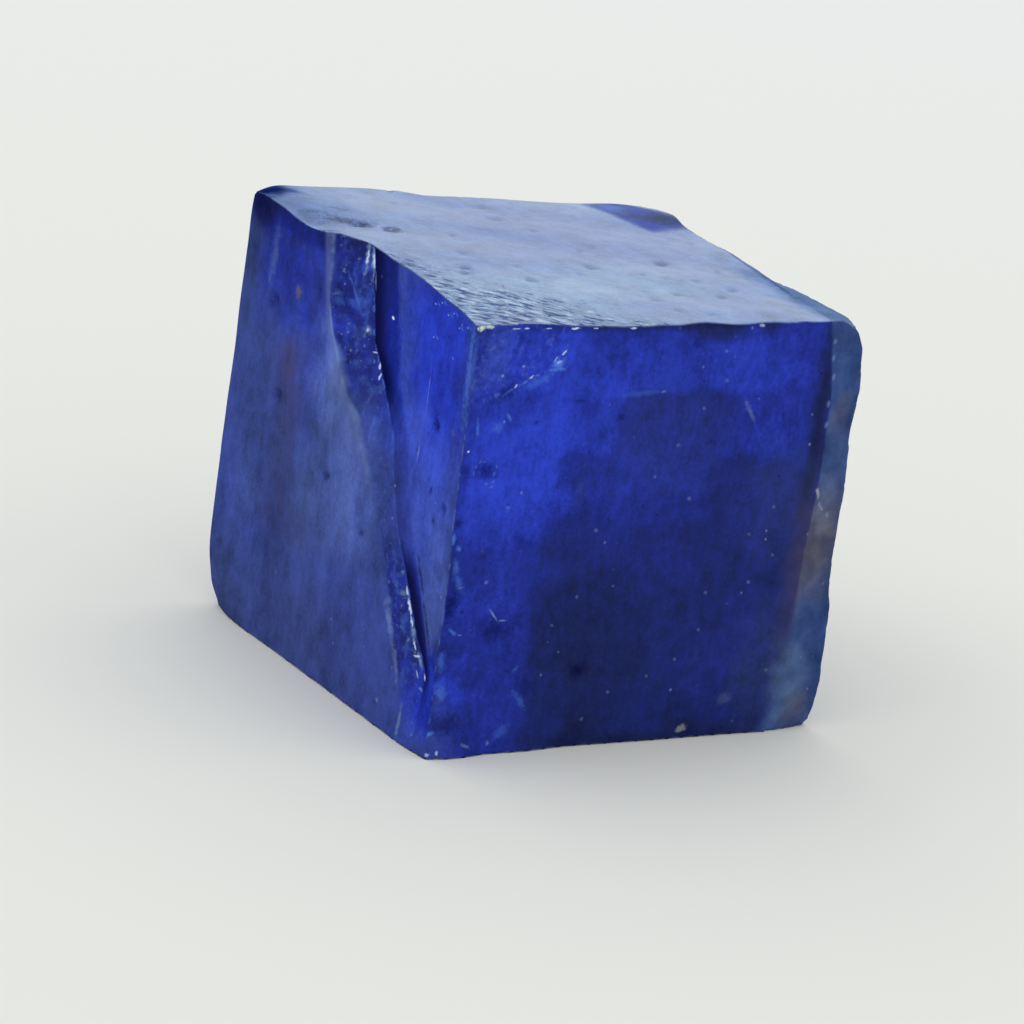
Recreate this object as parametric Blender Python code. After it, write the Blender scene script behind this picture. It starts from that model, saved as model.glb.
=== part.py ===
"""Rough tanzanite: one solid block of crystal, nearly a cube, standing flat on its base.

The block is a lattice cube whose eight corners are set out by hand. Each side is then worked inwards by
a relief of its own: the long fracture channel down the left side, the turned skin strip at the right of
the front, the bevel and the raised pad on top, the striations on the right and the ledge at the back.

Frame: +Z up, origin at the middle of the base. The front faces -Y, and the left side faces -X.
Sizes are in millimetres, measured from the front left bottom corner, and are turned to metres at the end.
"""

import math

import bmesh
import bpy
from mathutils import Vector, noise

MM = 0.001

# Driving dimensions: the eight corners, keyed by (right, back, top), each 0 or 1.
CORNERS = {
    (0, 0, 0): (0.0, 0.0, 0.0),
    (1, 0, 0): (26.4, 0.0, 0.0),
    (1, 1, 0): (25.9, 24.9, 0.0),
    (0, 1, 0): (-0.3, 25.9, 0.0),
    (0, 0, 1): (-0.7, 0.3, 25.0),
    (1, 0, 1): (25.7, 0.6, 24.7),
    (1, 1, 1): (25.7, 24.6, 24.8),
    (0, 1, 1): (-0.6, 26.0, 25.8),
}
WIDTH = 26.4
DEPTH = 25.4
HEIGHT = 25.0
RELIEF_REACH = 8.0  # how far into the block a side's relief still moves the lattice

# Broken corners: how far each is worn back, and how fast that shrinks along the edges that meet there.
CORNER_TAPER = 0.5
CORNER_WEAR = {
    (0, 1, 0): 1.8,
    (1, 0, 0): 0.8,
    (0, 0, 0): 0.7,
    (1, 0, 1): 0.9,
    (0, 1, 1): 0.45,
    (1, 1, 0): 1.6,
    (1, 1, 1): 0.5,
}

# Fracture channel on the left side. Each line is (height, distance from the front edge).
CHANNEL_RIM = (
    (0, 2.6), (4.7, 4.7), (7.7, 6), (12, 8.2), (16, 11), (17.3, 12.5), (19.6, 14.1), (22, 15.3),
    (25.5, 16.2),
)
CHANNEL_BACK = (
    (0, 1.2), (3.1, 1.6), (4.4, 1.9), (6.1, 3.4), (8.9, 5), (16, 8.2), (18.2, 10.4), (20.4, 12.4),
    (23.4, 13.5), (25.5, 14.2),
)
CHANNEL_FRONT = (
    (0, 0.8), (4.4, 1.3), (6.1, 2.5), (8.9, 3.8), (12, 4.9), (16.5, 6.8), (18.9, 9), (20.4, 10.2),
    (25.5, 11.1),
)
CHANNEL_DEPTH = (
    (0, 0.05), (3, 0.25), (5, 0.45), (8.9, 0.5), (11.5, 0.3), (14, 0.3), (16.5, 0.6), (18.9, 1.05),
    (25.5, 1.45),
)
RIM_STEP = 0.25  # share of the depth that drops off at the rim itself
RIM_WALL = 0.25
RIM_RIDGE = 0.2  # how far the side swells out to the rim, as a share of the depth
RIM_RIDGE_WIDTH = 2.8

# Foot of the left side: how far it stands out, by distance from the front edge, and how high it reaches.
LEFT_FOOT = ((0, 0.4), (3, 0.45), (6, 0.35), (9, 0.2), (13, 0.15), (18, 0))
LEFT_FOOT_HEIGHT = 2.6

# Foot of the front: how far it stands out, by distance from the left edge, and how high it reaches.
FRONT_FOOT = ((0, 0.4), (2.5, 0.45), (3.6, 0.1), (6.7, 0.05), (9, -0.25), (26.4, -0.3))
FRONT_FOOT_HEIGHT = 3.0

# Nicks broken from the top edge of the front: (distance from the left, half width, depth, drop).
FRONT_NICKS = ((11.6, 0.9, 0.35, 0.6), (14.8, 1.5, 0.7, 1.1), (18.9, 1.3, 0.5, 0.9))

# Skin strip at the right of the front. The line is (height, distance from the left edge).
STRIP_LINE = ((0, 22.9), (5.8, 23.9), (10.6, 23.8), (15.4, 24.0), (20, 24.0), (24.6, 23.3))
STRIP_LEDGE = 0.12
STRIP_TURN = math.radians(6)

# Right side: how far its front edge stands out, by height, then vertical striations and a broad hollow.
RIGHT_EDGE_BULGE = (
    (0, 0.35), (1.8, 0.4), (4.3, 0.35), (6.8, 0.4), (9.3, 0.15), (12, 0.2), (14, 0.3), (18.4, 0.15),
    (20, 0.55), (25, 0.4),
)
RIGHT_EDGE_WIDTH = 4.0
RIGHT_SCALLOP = 0.08
RIGHT_SCALLOP_PITCH = 2.3
STRIATION_DEPTH = 0.3
STRIATION_PITCH = 1.9
STRIATION_LENGTH = 30.0
STRIATION_LAYER = 4.2
RIGHT_HOLLOW = 0.45

# Top: the bevel along the right edge, whose inner line is (distance from the front, from the left).
BEVEL_LINE = ((0.4, 23.9), (2.5, 24.6), (7, 24.4), (10.8, 25.0), (18, 25.7))
BEVEL_SLOPE = math.radians(17)
LEFT_BEVEL_WIDTH = 0.7
LEFT_BEVEL_DROP = 0.3
LEFT_BEVEL_FRONT = 16.5
LEFT_BEVEL_FADE = 2.0
TOP_WAVE = 0.06
TOP_WAVE_PITCH = 7.0
TOP_WAVE_SLANT = 0.35

# Raised lump in the back right corner of the top, behind a wall that runs slantwise.
LUMP_WALL_POINT = Vector((21.4, 24.6))
LUMP_WALL_INWARD = Vector((0.78, 0.63))
LUMP_FRONT = 19.4
LUMP_HEIGHT = 0.42
LUMP_WALL_WIDTH = 0.8
LUMP_FALL = 0.08  # how fast its top falls away towards the back, for each millimetre

# Back: a cleavage ledge. The line is (height, distance from the left edge).
LEDGE_LINE = ((0, 15.5), (9, 13.6), (16, 12.4), (25.4, 9.0))
LEDGE_DEPTH = ((0, 0.15), (7, 0.35), (15, 0.9), (25.4, 1.0))  # (height, depth)
LEDGE_WALL = 0.3

# Unevenness of every side. A layer is the place in the noise that a pattern is read from.
SWELL = 0.16
SWELL_PITCH = 6.5
SWELL_LAYER = 3.0
GRAIN = 0.05
GRAIN_PITCH = 1.7
GRAIN_LAYER = 11.0
EDGE_WAVE = 0.12
EDGE_WAVE_PITCH = 3.25
EDGE_WAVE_LAYER = 23.0
AXIS_SPACING = 37.3

# The lattice, and how many of its columns lie in each stretch between two lines of a side.
LATTICE = 28
FRONT_COLUMNS = (1, 21, 1, 4, 1)
BACK_COLUMNS = (1, 12, 1, 13, 1)
LEFT_COLUMNS = (1, 7, 3, 6, 1, 9, 1)
EDGE_LOOP = 0.35  # lattice lines run this close beside each edge
FLAT = 1e-7  # points lower than this, in metres, are on the base
SHARP_ANGLE = math.radians(28)


def along(line, place):
    """The value of a line of (place, value) points at a place, straight between the points."""
    for (start, low), (end, high) in zip(line, line[1:]):
        if place <= end:
            return low + (high - low) * max(0.0, place - start) / (end - start)
    return line[-1][1]


def smooth(share):
    """A soft step from 0 to 1."""
    share = min(1.0, max(0.0, share))
    return share * share * (3 - 2 * share)


def block_point(right, back, top):
    """The point of the plain block at these shares of its width, depth and height."""
    point = Vector()
    for (i, j, k), corner in CORNERS.items():
        weight = (right if i else 1 - right) * (back if j else 1 - back) * (top if k else 1 - top)
        point += weight * Vector(corner)
    return point


def stations(breaks, counts, index):
    """The share of a side at a lattice index, with each stretch between two breaks divided evenly."""
    for start, end, count in zip(breaks, breaks[1:], counts):
        if index <= count:
            return start + (end - start) * index / count
        index -= count
    return 1.0


def front_share(index, height):
    """Lattice columns of the front: one follows each side of the skin strip's line."""
    line = along(STRIP_LINE, height) / WIDTH
    loop = EDGE_LOOP / WIDTH
    return stations((0, loop, line, line + STRIP_LEDGE / WIDTH, 1 - loop, 1), FRONT_COLUMNS, index)


def back_share(index, height):
    """Lattice columns of the back: two follow the ledge."""
    line = along(LEDGE_LINE, height) / WIDTH
    loop = EDGE_LOOP / WIDTH
    return stations((0, loop, line, line + LEDGE_WALL / WIDTH, 1 - loop, 1), BACK_COLUMNS, index)


def left_share(index, height):
    """Lattice columns of the left side: they follow the lines of the fracture channel."""
    lines = (CHANNEL_FRONT, CHANNEL_BACK, CHANNEL_RIM)
    front, back, rim = (along(line, height) / DEPTH for line in lines)
    loop = EDGE_LOOP / DEPTH
    wall = RIM_WALL / DEPTH
    return stations((0, loop, front, back, rim, rim + wall, 1 - loop, 1), LEFT_COLUMNS, index)


def even_share(index, length):
    """Evenly spaced lattice lines, with one close beside each edge."""
    loop = EDGE_LOOP / length
    return stations((0, loop, 1 - loop, 1), (1, LATTICE - 2, 1), index)


def lattice_point(i, j, k):
    """The block's point at lattice indices, before any relief, with its shares of width, depth and height."""
    top = even_share(k, HEIGHT)
    height = top * HEIGHT
    right_even, back_even = even_share(i, WIDTH), even_share(j, DEPTH)
    towards_back, towards_right = smooth(back_even), smooth(right_even)
    right = front_share(i, height) * (1 - towards_back) + back_share(i, height) * towards_back
    back = left_share(j, height) * (1 - towards_right) + back_even * towards_right
    return block_point(right, back, top), (right, back, top)


def channel_relief(point):
    """How far the fracture channel lies in, with the facet in front of it and the ridge behind."""
    front = along(CHANNEL_FRONT, point.z)
    back = along(CHANNEL_BACK, point.z)
    rim = along(CHANNEL_RIM, point.z)
    depth = along(CHANNEL_DEPTH, point.z)
    if point.y <= front:
        return depth * math.sin(math.pi / 2 * max(0.0, point.y) / front)
    if point.y <= back:
        return depth
    if point.y <= rim + RIM_WALL / 2:
        rise = (rim - point.y) / (rim - back)
        return depth * (RIM_STEP + (1 - RIM_STEP) * max(0.0, rise))
    return -depth * RIM_RIDGE * max(0.0, 1 - (point.y - rim) / RIM_RIDGE_WIDTH)


def left_relief(point):
    """How far the left side is worked in: the channel, less the foot."""
    return channel_relief(point) - along(LEFT_FOOT, point.y) * max(0.0, 1 - point.z / LEFT_FOOT_HEIGHT)


def front_relief(point):
    """How far the front is worked in: its foot, the nicks in its top edge, and the strip behind a ledge."""
    inward = -along(FRONT_FOOT, point.x) * max(0.0, 1 - point.z / FRONT_FOOT_HEIGHT)
    for place, half_width, depth, drop in FRONT_NICKS:
        across = 1 - ((point.x - place) / half_width) ** 2
        inward += depth * max(0.0, across) * smooth(1 - (HEIGHT - point.z) / drop)
    beyond = point.x - along(STRIP_LINE, point.z)
    if beyond > STRIP_LEDGE / 2:
        inward += STRIP_LEDGE + beyond * math.tan(STRIP_TURN)
    return inward


def right_relief(point):
    """How far the right side is worked in: natural skin, with its ragged front edge standing out."""
    at_edge = max(0.0, 1 - point.y / RIGHT_EDGE_WIDTH)
    ragged = RIGHT_SCALLOP * math.sin(2 * math.pi * point.z / RIGHT_SCALLOP_PITCH)
    out = (along(RIGHT_EDGE_BULGE, point.z) + ragged) * at_edge
    ridge = noise.noise(Vector((point.y / STRIATION_PITCH, point.z / STRIATION_LENGTH, STRIATION_LAYER)))
    span = math.sin(math.pi * point.y / DEPTH) * math.sin(math.pi * min(1.0, point.z / HEIGHT))
    return RIGHT_HOLLOW * max(0.0, span) + STRIATION_DEPTH * ridge * (1 - at_edge) - out


def back_relief(point):
    """How far the back is worked in: the ledge drops at its line and runs out at the right edge."""
    line = along(LEDGE_LINE, point.z)
    if point.x < line + LEDGE_WALL / 2:
        return 0.0
    return along(LEDGE_DEPTH, point.z) * max(0.0, 1 - (point.x - line) / (WIDTH - line))


def top_relief(point):
    """How far the top is worked down: bevels at its right and left, less the corner lump and the waves."""
    bevel = max(0.0, point.x - along(BEVEL_LINE, point.y)) * math.tan(BEVEL_SLOPE)
    left = LEFT_BEVEL_DROP * smooth(1 - point.x / LEFT_BEVEL_WIDTH)
    left *= smooth((point.y - LEFT_BEVEL_FRONT) / LEFT_BEVEL_FADE)
    behind = (point.xy - LUMP_WALL_POINT).dot(LUMP_WALL_INWARD)
    from_front = point.y - LUMP_FRONT
    crest = LUMP_HEIGHT - LUMP_FALL * max(0.0, from_front)
    lump = crest * smooth(behind / LUMP_WALL_WIDTH) * smooth(from_front / LUMP_WALL_WIDTH)
    wave = TOP_WAVE * math.sin(2 * math.pi * (point.y + TOP_WAVE_SLANT * point.x) / TOP_WAVE_PITCH)
    return bevel + left - lump - wave


def uneven(point, pitch, layer):
    """Smooth noise as a vector, in -1 to 1 on each axis, each axis read from its own part of the noise."""
    place = point / pitch + Vector((0.0, 0.0, layer))
    return Vector([noise.noise(place + Vector((AXIS_SPACING * axis, 0.0, 0.0))) for axis in range(3)])


def worked_point(point, shares):
    """Moves a lattice point by the relief of every side, fading into the block, and by its unevenness."""
    right, back, top = shares
    reach = RELIEF_REACH
    move = Vector()
    move.x += left_relief(point) * max(0.0, 1 - right * WIDTH / reach)
    move.x -= right_relief(point) * max(0.0, 1 - (1 - right) * WIDTH / reach)
    move.y += front_relief(point) * max(0.0, 1 - back * DEPTH / reach)
    move.y -= back_relief(point) * max(0.0, 1 - (1 - back) * DEPTH / reach)
    move.z -= top_relief(point) * max(0.0, 1 - (1 - top) * HEIGHT / reach)
    move += SWELL * uneven(point, SWELL_PITCH, SWELL_LAYER)
    move += GRAIN * uneven(point, GRAIN_PITCH, GRAIN_LAYER)
    if top == 0:
        move += EDGE_WAVE * uneven(point, EDGE_WAVE_PITCH, EDGE_WAVE_LAYER)
        move.z = 0.0
    return point + move


def worn_point(point, shares):
    """Rounds the broken corners: within reach of one, a point is drawn in onto a ball of the worn radius."""
    size = (WIDTH, DEPTH, HEIGHT)
    for corner, radius in CORNER_WEAR.items():
        inside = [(1 - s if c else s) * length for s, c, length in zip(shares, corner, size)]
        reach = radius - max(inside) * CORNER_TAPER
        if reach <= 0:
            continue
        offset = Vector([max(0.0, reach - d) for d in inside])
        if offset.length > reach:
            drawn = offset - offset * (reach / offset.length)
            for axis in range(3):
                if axis < 2 or corner[2]:
                    point[axis] += drawn[axis] * (-1 if corner[axis] else 1)
    return point


def stand_on_origin(shape):
    """Moves the block sideways until the middle of its bounding box is over the origin."""
    for axis in (0, 1):
        places = [vertex.co[axis] for vertex in shape.verts]
        middle = (min(places) + max(places)) / 2
        for vertex in shape.verts:
            vertex.co[axis] -= middle


def make_block():
    """The worked block as one closed mesh, with its base a single flat face."""
    shape = bmesh.new()
    bmesh.ops.create_cube(shape, size=1.0)
    bmesh.ops.subdivide_edges(shape, edges=shape.edges[:], cuts=LATTICE - 1, use_grid_fill=True)
    for vertex in shape.verts:
        i, j, k = (round((c + 0.5) * LATTICE) for c in vertex.co)
        point, shares = lattice_point(i, j, k)
        vertex.co = worn_point(worked_point(point, shares), shares) * MM
    stand_on_origin(shape)
    base = [face for face in shape.faces if all(v.co.z < FLAT for v in face.verts)]
    bmesh.ops.dissolve_faces(shape, faces=base, use_verts=False)
    bmesh.ops.recalc_face_normals(shape, faces=shape.faces[:])
    mesh = bpy.data.meshes.new("tanzanite")
    shape.to_mesh(mesh)
    shape.free()
    mesh.shade_smooth()
    mesh.set_sharp_from_angle(angle=SHARP_ANGLE)
    return mesh


def crystal_finish():
    """Deep violet-blue crystal with a glassy, slightly hazed surface."""
    material = bpy.data.materials.new("tanzanite_crystal")
    material.use_nodes = True
    surface = material.node_tree.nodes["Principled BSDF"]
    surface.inputs["Base Color"].default_value = (0.020, 0.032, 0.270, 1.0)
    surface.inputs["Roughness"].default_value = 0.28
    surface.inputs["Metallic"].default_value = 0.0
    surface.inputs["IOR"].default_value = 1.69
    return material


def main():
    for old in list(bpy.data.objects):
        bpy.data.objects.remove(old)
    block = bpy.data.objects.new("tanzanite", make_block())
    block.data.materials.append(crystal_finish())
    bpy.context.scene.collection.objects.link(block)


main()
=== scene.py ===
"""Rough tanzanite: the finish of the stone, and the pale table and soft light around it.

The stone is one piece. Its solid comes from the frame; here it is refined into a fine mesh with the small
relief of each side, marked with what each side is like, and dressed in a cloudy deep blue crystal.

Feature places are in millimetres from the block's front left bottom corner: x to the right, y to the back
and z up. The front faces -Y and the left side faces -X.
"""

import logging
import math
from dataclasses import dataclass, field
from enum import Enum
from typing import Any, Iterator, Sequence

import bmesh
import bpy
import numpy as np
from mathutils import Matrix, Vector, noise


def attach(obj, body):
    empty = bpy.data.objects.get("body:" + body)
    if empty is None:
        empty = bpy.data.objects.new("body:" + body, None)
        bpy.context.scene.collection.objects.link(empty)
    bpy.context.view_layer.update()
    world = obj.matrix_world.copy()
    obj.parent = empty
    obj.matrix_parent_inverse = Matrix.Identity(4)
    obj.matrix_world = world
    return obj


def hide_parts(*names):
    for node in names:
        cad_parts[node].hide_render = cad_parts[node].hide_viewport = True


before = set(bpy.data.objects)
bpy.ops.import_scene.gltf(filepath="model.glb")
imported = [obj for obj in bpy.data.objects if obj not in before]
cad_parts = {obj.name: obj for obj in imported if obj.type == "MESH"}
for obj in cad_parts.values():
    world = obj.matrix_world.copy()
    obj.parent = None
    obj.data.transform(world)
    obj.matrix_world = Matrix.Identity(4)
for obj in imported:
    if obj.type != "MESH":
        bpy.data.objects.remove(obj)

logging.basicConfig(level=logging.INFO, format="%(message)s")
LOG = logging.getLogger("tanzanite")

MM = 0.001
CORNER = Vector((-12.92, -12.79, 0.0))  # the block's front left bottom corner, in the frame's millimetres

# The layers of noise that the shape takes, one for each use, so that no two repeat each other.
HACKLE_LAYER = 7.0
GRAIN_LAYER = 21.0
WAVER_LAYERS = (31.0, 57.0)
EDGE_LAYER = 83.0

Line = tuple[tuple[float, float], ...]
Place = tuple[float, float, float]
Colour = tuple[float, float, float]
Weights = tuple[tuple[str, float], ...]
Socket = bpy.types.NodeSocket


class Side(Enum):
    """The six sides of the block, each named by the attribute that marks it on the mesh."""

    LEFT = "side_left"
    RIGHT = "side_right"
    FRONT = "side_front"
    BACK = "side_back"
    TOP = "side_top"
    BASE = "side_base"


class Mark(Enum):
    """What else is marked on the mesh, each named by its attribute."""

    GLOW = "glow"
    # The haze, which on the top and the left side is painted sheen, a painted reflection of the pale
    # surround.
    HAZE_AND_SHEEN = "haze_and_sheen"
    RUST = "rust"
    GLOSS = "gloss"
    DIMPLED = "dimpled"
    SKIN = "skin"
    HACKLE = "hackle"
    OPEN = "channel_open"
    RIM = "rim_distance"
    RIM_PALE = "rim_pale"
    FLOOR = "floor_distance"
    BAND = "band_distance"
    CHIP = "chip_cover"
    STEP = "step_cover"
    STEP_DISTANCE = "step_distance"
    # Where the edges get painted highlights.
    EDGE = "edge_highlight"


class Tone(Enum):
    """What a fleck looks like, each named by the colour that it takes in the palette."""

    INK = "ink"
    HAZE = "haze"
    AZURE = "azure"
    SPECK = "speck"
    RUST = "rust"
    # Painted highlights.
    GLINT = "glint"
    # Pale yellowish: painted highlights, and some pale marks.
    BONE = "bone"


FLECK_ATTRIBUTE = "fleck_{}"

# The two directions of each side, as axis numbers: along it, then up it.
DIRECTIONS: dict[Side, tuple[int, int]] = {
    Side.LEFT: (1, 2),
    Side.RIGHT: (1, 2),
    Side.FRONT: (0, 2),
    Side.BACK: (0, 2),
    Side.TOP: (0, 1),
    Side.BASE: (0, 1),
}

# The way into the stone from each side.
INTO: dict[Side, tuple[int, int, int]] = {
    Side.LEFT: (1, 0, 0),
    Side.RIGHT: (-1, 0, 0),
    Side.FRONT: (0, 1, 0),
    Side.BACK: (0, -1, 0),
    Side.TOP: (0, 0, -1),
    Side.BASE: (0, 0, 1),
}


def along(line: Line, places: np.ndarray) -> np.ndarray:
    """The values of a line of (place, value) points at many places."""
    points = np.array(line)
    return np.interp(places, points[:, 0], points[:, 1])


def soft(share: np.ndarray) -> np.ndarray:
    """A soft step from 0 to 1."""
    share = np.clip(share, 0.0, 1.0)
    return share * share * (3 - 2 * share)


def turned(across: np.ndarray, rise: np.ndarray, degrees: float) -> tuple[np.ndarray, np.ndarray]:
    """Offsets along and up a side, as measured along directions turned by so many degrees."""
    cosine, sine = math.cos(math.radians(degrees)), math.sin(math.radians(degrees))
    return across * cosine + rise * sine, rise * cosine - across * sine


def wavy(points: np.ndarray, pitch: float, layer: float) -> np.ndarray:
    """Seeded fractal noise at many places.

    Args:
        points: places in mm, one row each.
        pitch: the size of one wave, in mm.
        layer: which of the endless noise layers to use.

    Returns:
        Noise between about -1 and 1.
    """
    fading, spacing, octaves = 1.0, 2.0, 3
    scaled = points / pitch + np.array((layer, 0.0, layer))
    return np.array([noise.fractal(Vector(place), fading, spacing, octaves) for place in scaled])


def values_of(items: Any, name: str, width: int, kind: type = float) -> np.ndarray:
    """Reads one property of many items of a mesh.

    Args:
        items: the mesh's points, edges, corners or faces.
        name: the property's name.
        width: how many numbers it has.
        kind: the type of its numbers.

    Returns:
        One row for each item, or one number where the width is 1.
    """
    values = np.zeros(len(items) * width, dtype=kind)
    items.foreach_get(name, values)
    return values.reshape(-1, width) if width > 1 else values


def from_corner(places: np.ndarray) -> np.ndarray:
    """Places of the mesh, in metres, as millimetres from the block's corner."""
    return places / MM - np.array(CORNER)


@dataclass(frozen=True)
class Patch:
    """A soft blot on one side, measured along that side's two directions.

    Attributes:
        side: the side it lies on.
        at: its middle, in mm.
        reach: its half widths, in mm.
        amount: how much it adds in its middle.
        turn: how far it is turned, in degrees.
        power: how square and sharp-edged it is, from 2 for a soft round one.
        waver: how far its edge strays, in mm.
    """

    side: Side
    at: tuple[float, float]
    reach: tuple[float, float]
    amount: float
    turn: float = 0.0
    power: float = 3.0
    waver: float = 1.1

    def cover(self, first: np.ndarray, second: np.ndarray, strays: np.ndarray) -> np.ndarray:
        """How much the patch adds at each place.

        Args:
            first: places along the side's first direction, in mm.
            second: places along the side's second direction, in mm.
            strays: two rows of noise that move the edge along and up the side.

        Returns:
            The amount added at each place.
        """
        across = first + strays[0] * self.waver - self.at[0]
        rise = second + strays[1] * self.waver - self.at[1]
        across, rise = turned(across, rise, self.turn)
        wide, tall = np.abs(across / self.reach[0]), np.abs(rise / self.reach[1])
        return self.amount * np.exp(-(wide**self.power + tall**self.power))


@dataclass(frozen=True)
class Fleck:
    """A small mark in the surface, brighter or darker than the crystal round it; some are painted highlights
    and some painted shade.

    Attributes:
        tone: what it looks like.
        side: the side it lies on.
        at: its middle, in mm from the block's corner.
        reach: its half lengths along and up the side, in mm.
        turn: how far it is turned in the side, in degrees.
        strength: how strongly it shows.
        thickness: how far it reaches through the surface, in mm.
    """

    tone: Tone
    side: Side
    at: Place
    reach: tuple[float, float]
    turn: float = 0.0
    strength: float = 0.8
    thickness: float = 0.7

    def local(self, places: np.ndarray) -> np.ndarray:
        """Places seen from the fleck, in units of its reach: along it, up it, and through the surface.

        Args:
            places: places in mm from the block's corner, one row each.

        Returns:
            One row of three numbers for each place; the fleck's outline is where the first two reach 1.
        """
        first, second = DIRECTIONS[self.side]
        offset = places - np.array(self.at)
        across, rise = turned(offset[:, first], offset[:, second], self.turn)
        through = offset[:, 3 - first - second]
        return np.stack([across / self.reach[0], rise / self.reach[1], through / self.thickness], axis=1)


@dataclass(frozen=True)
class Pit:
    """A small hollow on one side, with painted shade that makes it darker than the surface round it.

    Attributes:
        side: the side it lies on.
        at: its middle, in mm from the block's corner.
        radius: its radius, in mm.
        depth: its depth, in mm.
        shade: how dark its painted shade is, from 0 to 1.
        lip: how far its edge reaches, in radii.
        flatness: how tall its shade is for its width.
    """

    side: Side
    at: Place
    radius: float
    depth: float
    shade: float
    lip: float = 1.3
    flatness: float = 0.8

    def inward(self, places: np.ndarray) -> np.ndarray:
        """How far the pit lies in.

        Args:
            places: places in mm from the block's corner.

        Returns:
            A depth in mm for each place.
        """
        first, second = DIRECTIONS[self.side]
        away = np.hypot(places[:, first] - self.at[first], places[:, second] - self.at[second])
        return self.depth * soft(self.lip - away / self.radius)

    def fleck(self) -> Fleck:
        """The dark fleck that paints the pit's shade."""
        reach = (self.radius, self.radius * self.flatness)
        return Fleck(Tone.INK, self.side, self.at, reach, 0, self.shade, 1.0)


@dataclass
class FractureChannel:
    """The long fracture down the left side: rim, rough wall, groove, smooth band and front facet.

    The lines of the rim, the groove's floor and the band's front are (height, distance from the front
    edge), in mm. The others go by height too: the rim's width in mm, how open the channel is, and how pale.
    """

    rim: Line = (
        (0, 2.6), (4.7, 4.7), (7.7, 6), (12, 8.2), (16, 11), (17.3, 12.5), (19.6, 14.2), (20.2, 14.8),
        (22, 15.6), (25.5, 16.4),
    )
    floor: Line = (
        (0, 1.2), (4.4, 1.9), (6.1, 3.4), (8.9, 5), (16, 8.2), (18.2, 10.4), (20.4, 12.4), (23.4, 13.5),
        (25.5, 14.2),
    )
    band: Line = (
        (0, 0.8), (4.4, 1.1), (6.1, 2.2), (8.9, 3.5), (12, 4.7), (16.5, 6.8), (18.9, 9), (25.5, 11.3),
    )
    rim_width: Line = ((9, 2.6), (18, 2.2), (20, 1.2), (22, 0.75), (25.5, 0.65))
    open_by_height: Line = (
        (0, 0), (2.5, 0.3), (4.5, 1), (9, 1), (11, 0.3), (16.5, 0.3), (18.5, 1), (25.5, 1),
    )
    pale_by_height: Line = ((12, 0), (17, 0.8), (19, 1), (25, 1))
    line_fade: float = 0.2
    haze_overlap: float = 0.1
    haze_kept_off: float = 0.9
    hackle_height: float = 0.16
    hackle_pitch: float = 0.75
    groove_depth: float = 0.12
    groove_reach: float = 0.28

    def mark(self, places: np.ndarray, left: np.ndarray) -> dict[Mark, np.ndarray]:
        """Measures each place against the channel's lines.

        Args:
            places: places in mm from the block's corner.
            left: how much each place is on the left side.

        Returns:
            The distances behind the rim, as a share of its width, and to the groove and the band's front, how
            open the channel and how pale its rim is, and how hackly each place is.
        """
        height, back = places[:, 2], places[:, 1]
        rim, floor = along(self.rim, height), along(self.floor, height)
        wall = soft((back - floor) / self.line_fade) * soft((rim - back) / self.line_fade)
        opened = left * along(self.open_by_height, height)
        return {
            Mark.RIM: (back - rim) / along(self.rim_width, height),
            Mark.RIM_PALE: left * along(self.pale_by_height, height),
            Mark.FLOOR: back - floor,
            Mark.BAND: back - along(self.band, height),
            Mark.OPEN: opened,
            Mark.HACKLE: wall * opened,
        }

    def hazed(self, marks: dict[Enum, np.ndarray]) -> np.ndarray:
        """How much haze and painted sheen stays at each place: it is kept off the channel's wall and band.

        Args:
            marks: what the channel marks at each place.

        Returns:
            A share of the haze for each place.
        """
        behind = soft((marks[Mark.BAND] + self.haze_overlap) / self.line_fade)
        before = soft((self.haze_overlap - marks[Mark.FLOOR]) / self.line_fade)
        covered = np.clip(marks[Mark.HACKLE] + behind * before * marks[Mark.OPEN], 0, 1)
        return 1 - self.haze_kept_off * covered

    def inward(self, places: np.ndarray, marks: dict[Enum, np.ndarray]) -> np.ndarray:
        """How far the channel's own roughness lies in.

        Args:
            places: places in mm from the block's corner.
            marks: what the channel marks at each place.

        Returns:
            A depth in mm for each place.
        """
        hackle = np.abs(wavy(places, self.hackle_pitch, HACKLE_LAYER)) * self.hackle_height
        hackle = hackle * marks[Mark.HACKLE]
        opened = along(self.open_by_height, places[:, 2])
        groove = np.exp(-((marks[Mark.FLOOR] / self.groove_reach) ** 2)) * self.groove_depth * opened
        return hackle + groove


@dataclass
class FrontChip:
    """The shallow shell-shaped chip at the top left of the front, whose lower edge is a small step.

    The step is (distance from the left, height), in mm. Its bright line, a painted highlight, starts where
    the step does.
    """

    step: Line = (
        (1.4, 20.6), (1.9, 21.1), (2.4, 21.35), (3.3, 21.8), (4.2, 22.25), (4.9, 22.4), (5.5, 22.6),
        (6, 23.4),
    )
    step_fade: float = 0.15
    line_start_fade: float = 0.5
    line_end: float = 5.4
    line_end_fade: float = 0.3
    right: float = 5.9
    right_fade: float = 1.0
    depth: float = 0.2
    fade: float = 3.2

    def mark(self, places: np.ndarray, front: np.ndarray) -> dict[Mark, np.ndarray]:
        """Measures each place against the chip.

        Args:
            places: places in mm from the block's corner.
            front: how much each place is on the front.

        Returns:
            How much each place is in the chip and near its step, and how far it lies above the step, in mm.
        """
        x = places[:, 0]
        above = places[:, 2] - along(self.step, x)
        inside = soft(above / self.step_fade + 0.5) * soft((self.right - x) / self.right_fade)
        start = soft((x - self.step[0][0]) / self.line_start_fade)
        stretch = start * soft((self.line_end - x) / self.line_end_fade)
        return {Mark.CHIP: inside * front, Mark.STEP: stretch * front, Mark.STEP_DISTANCE: above}

    def inward(self, marks: dict[Enum, np.ndarray]) -> np.ndarray:
        """How far the chip lies in: deepest at its step, and running out upwards."""
        above = np.clip(marks[Mark.STEP_DISTANCE], 0, None)
        return self.depth * marks[Mark.CHIP] * np.exp(-above / self.fade)


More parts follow.
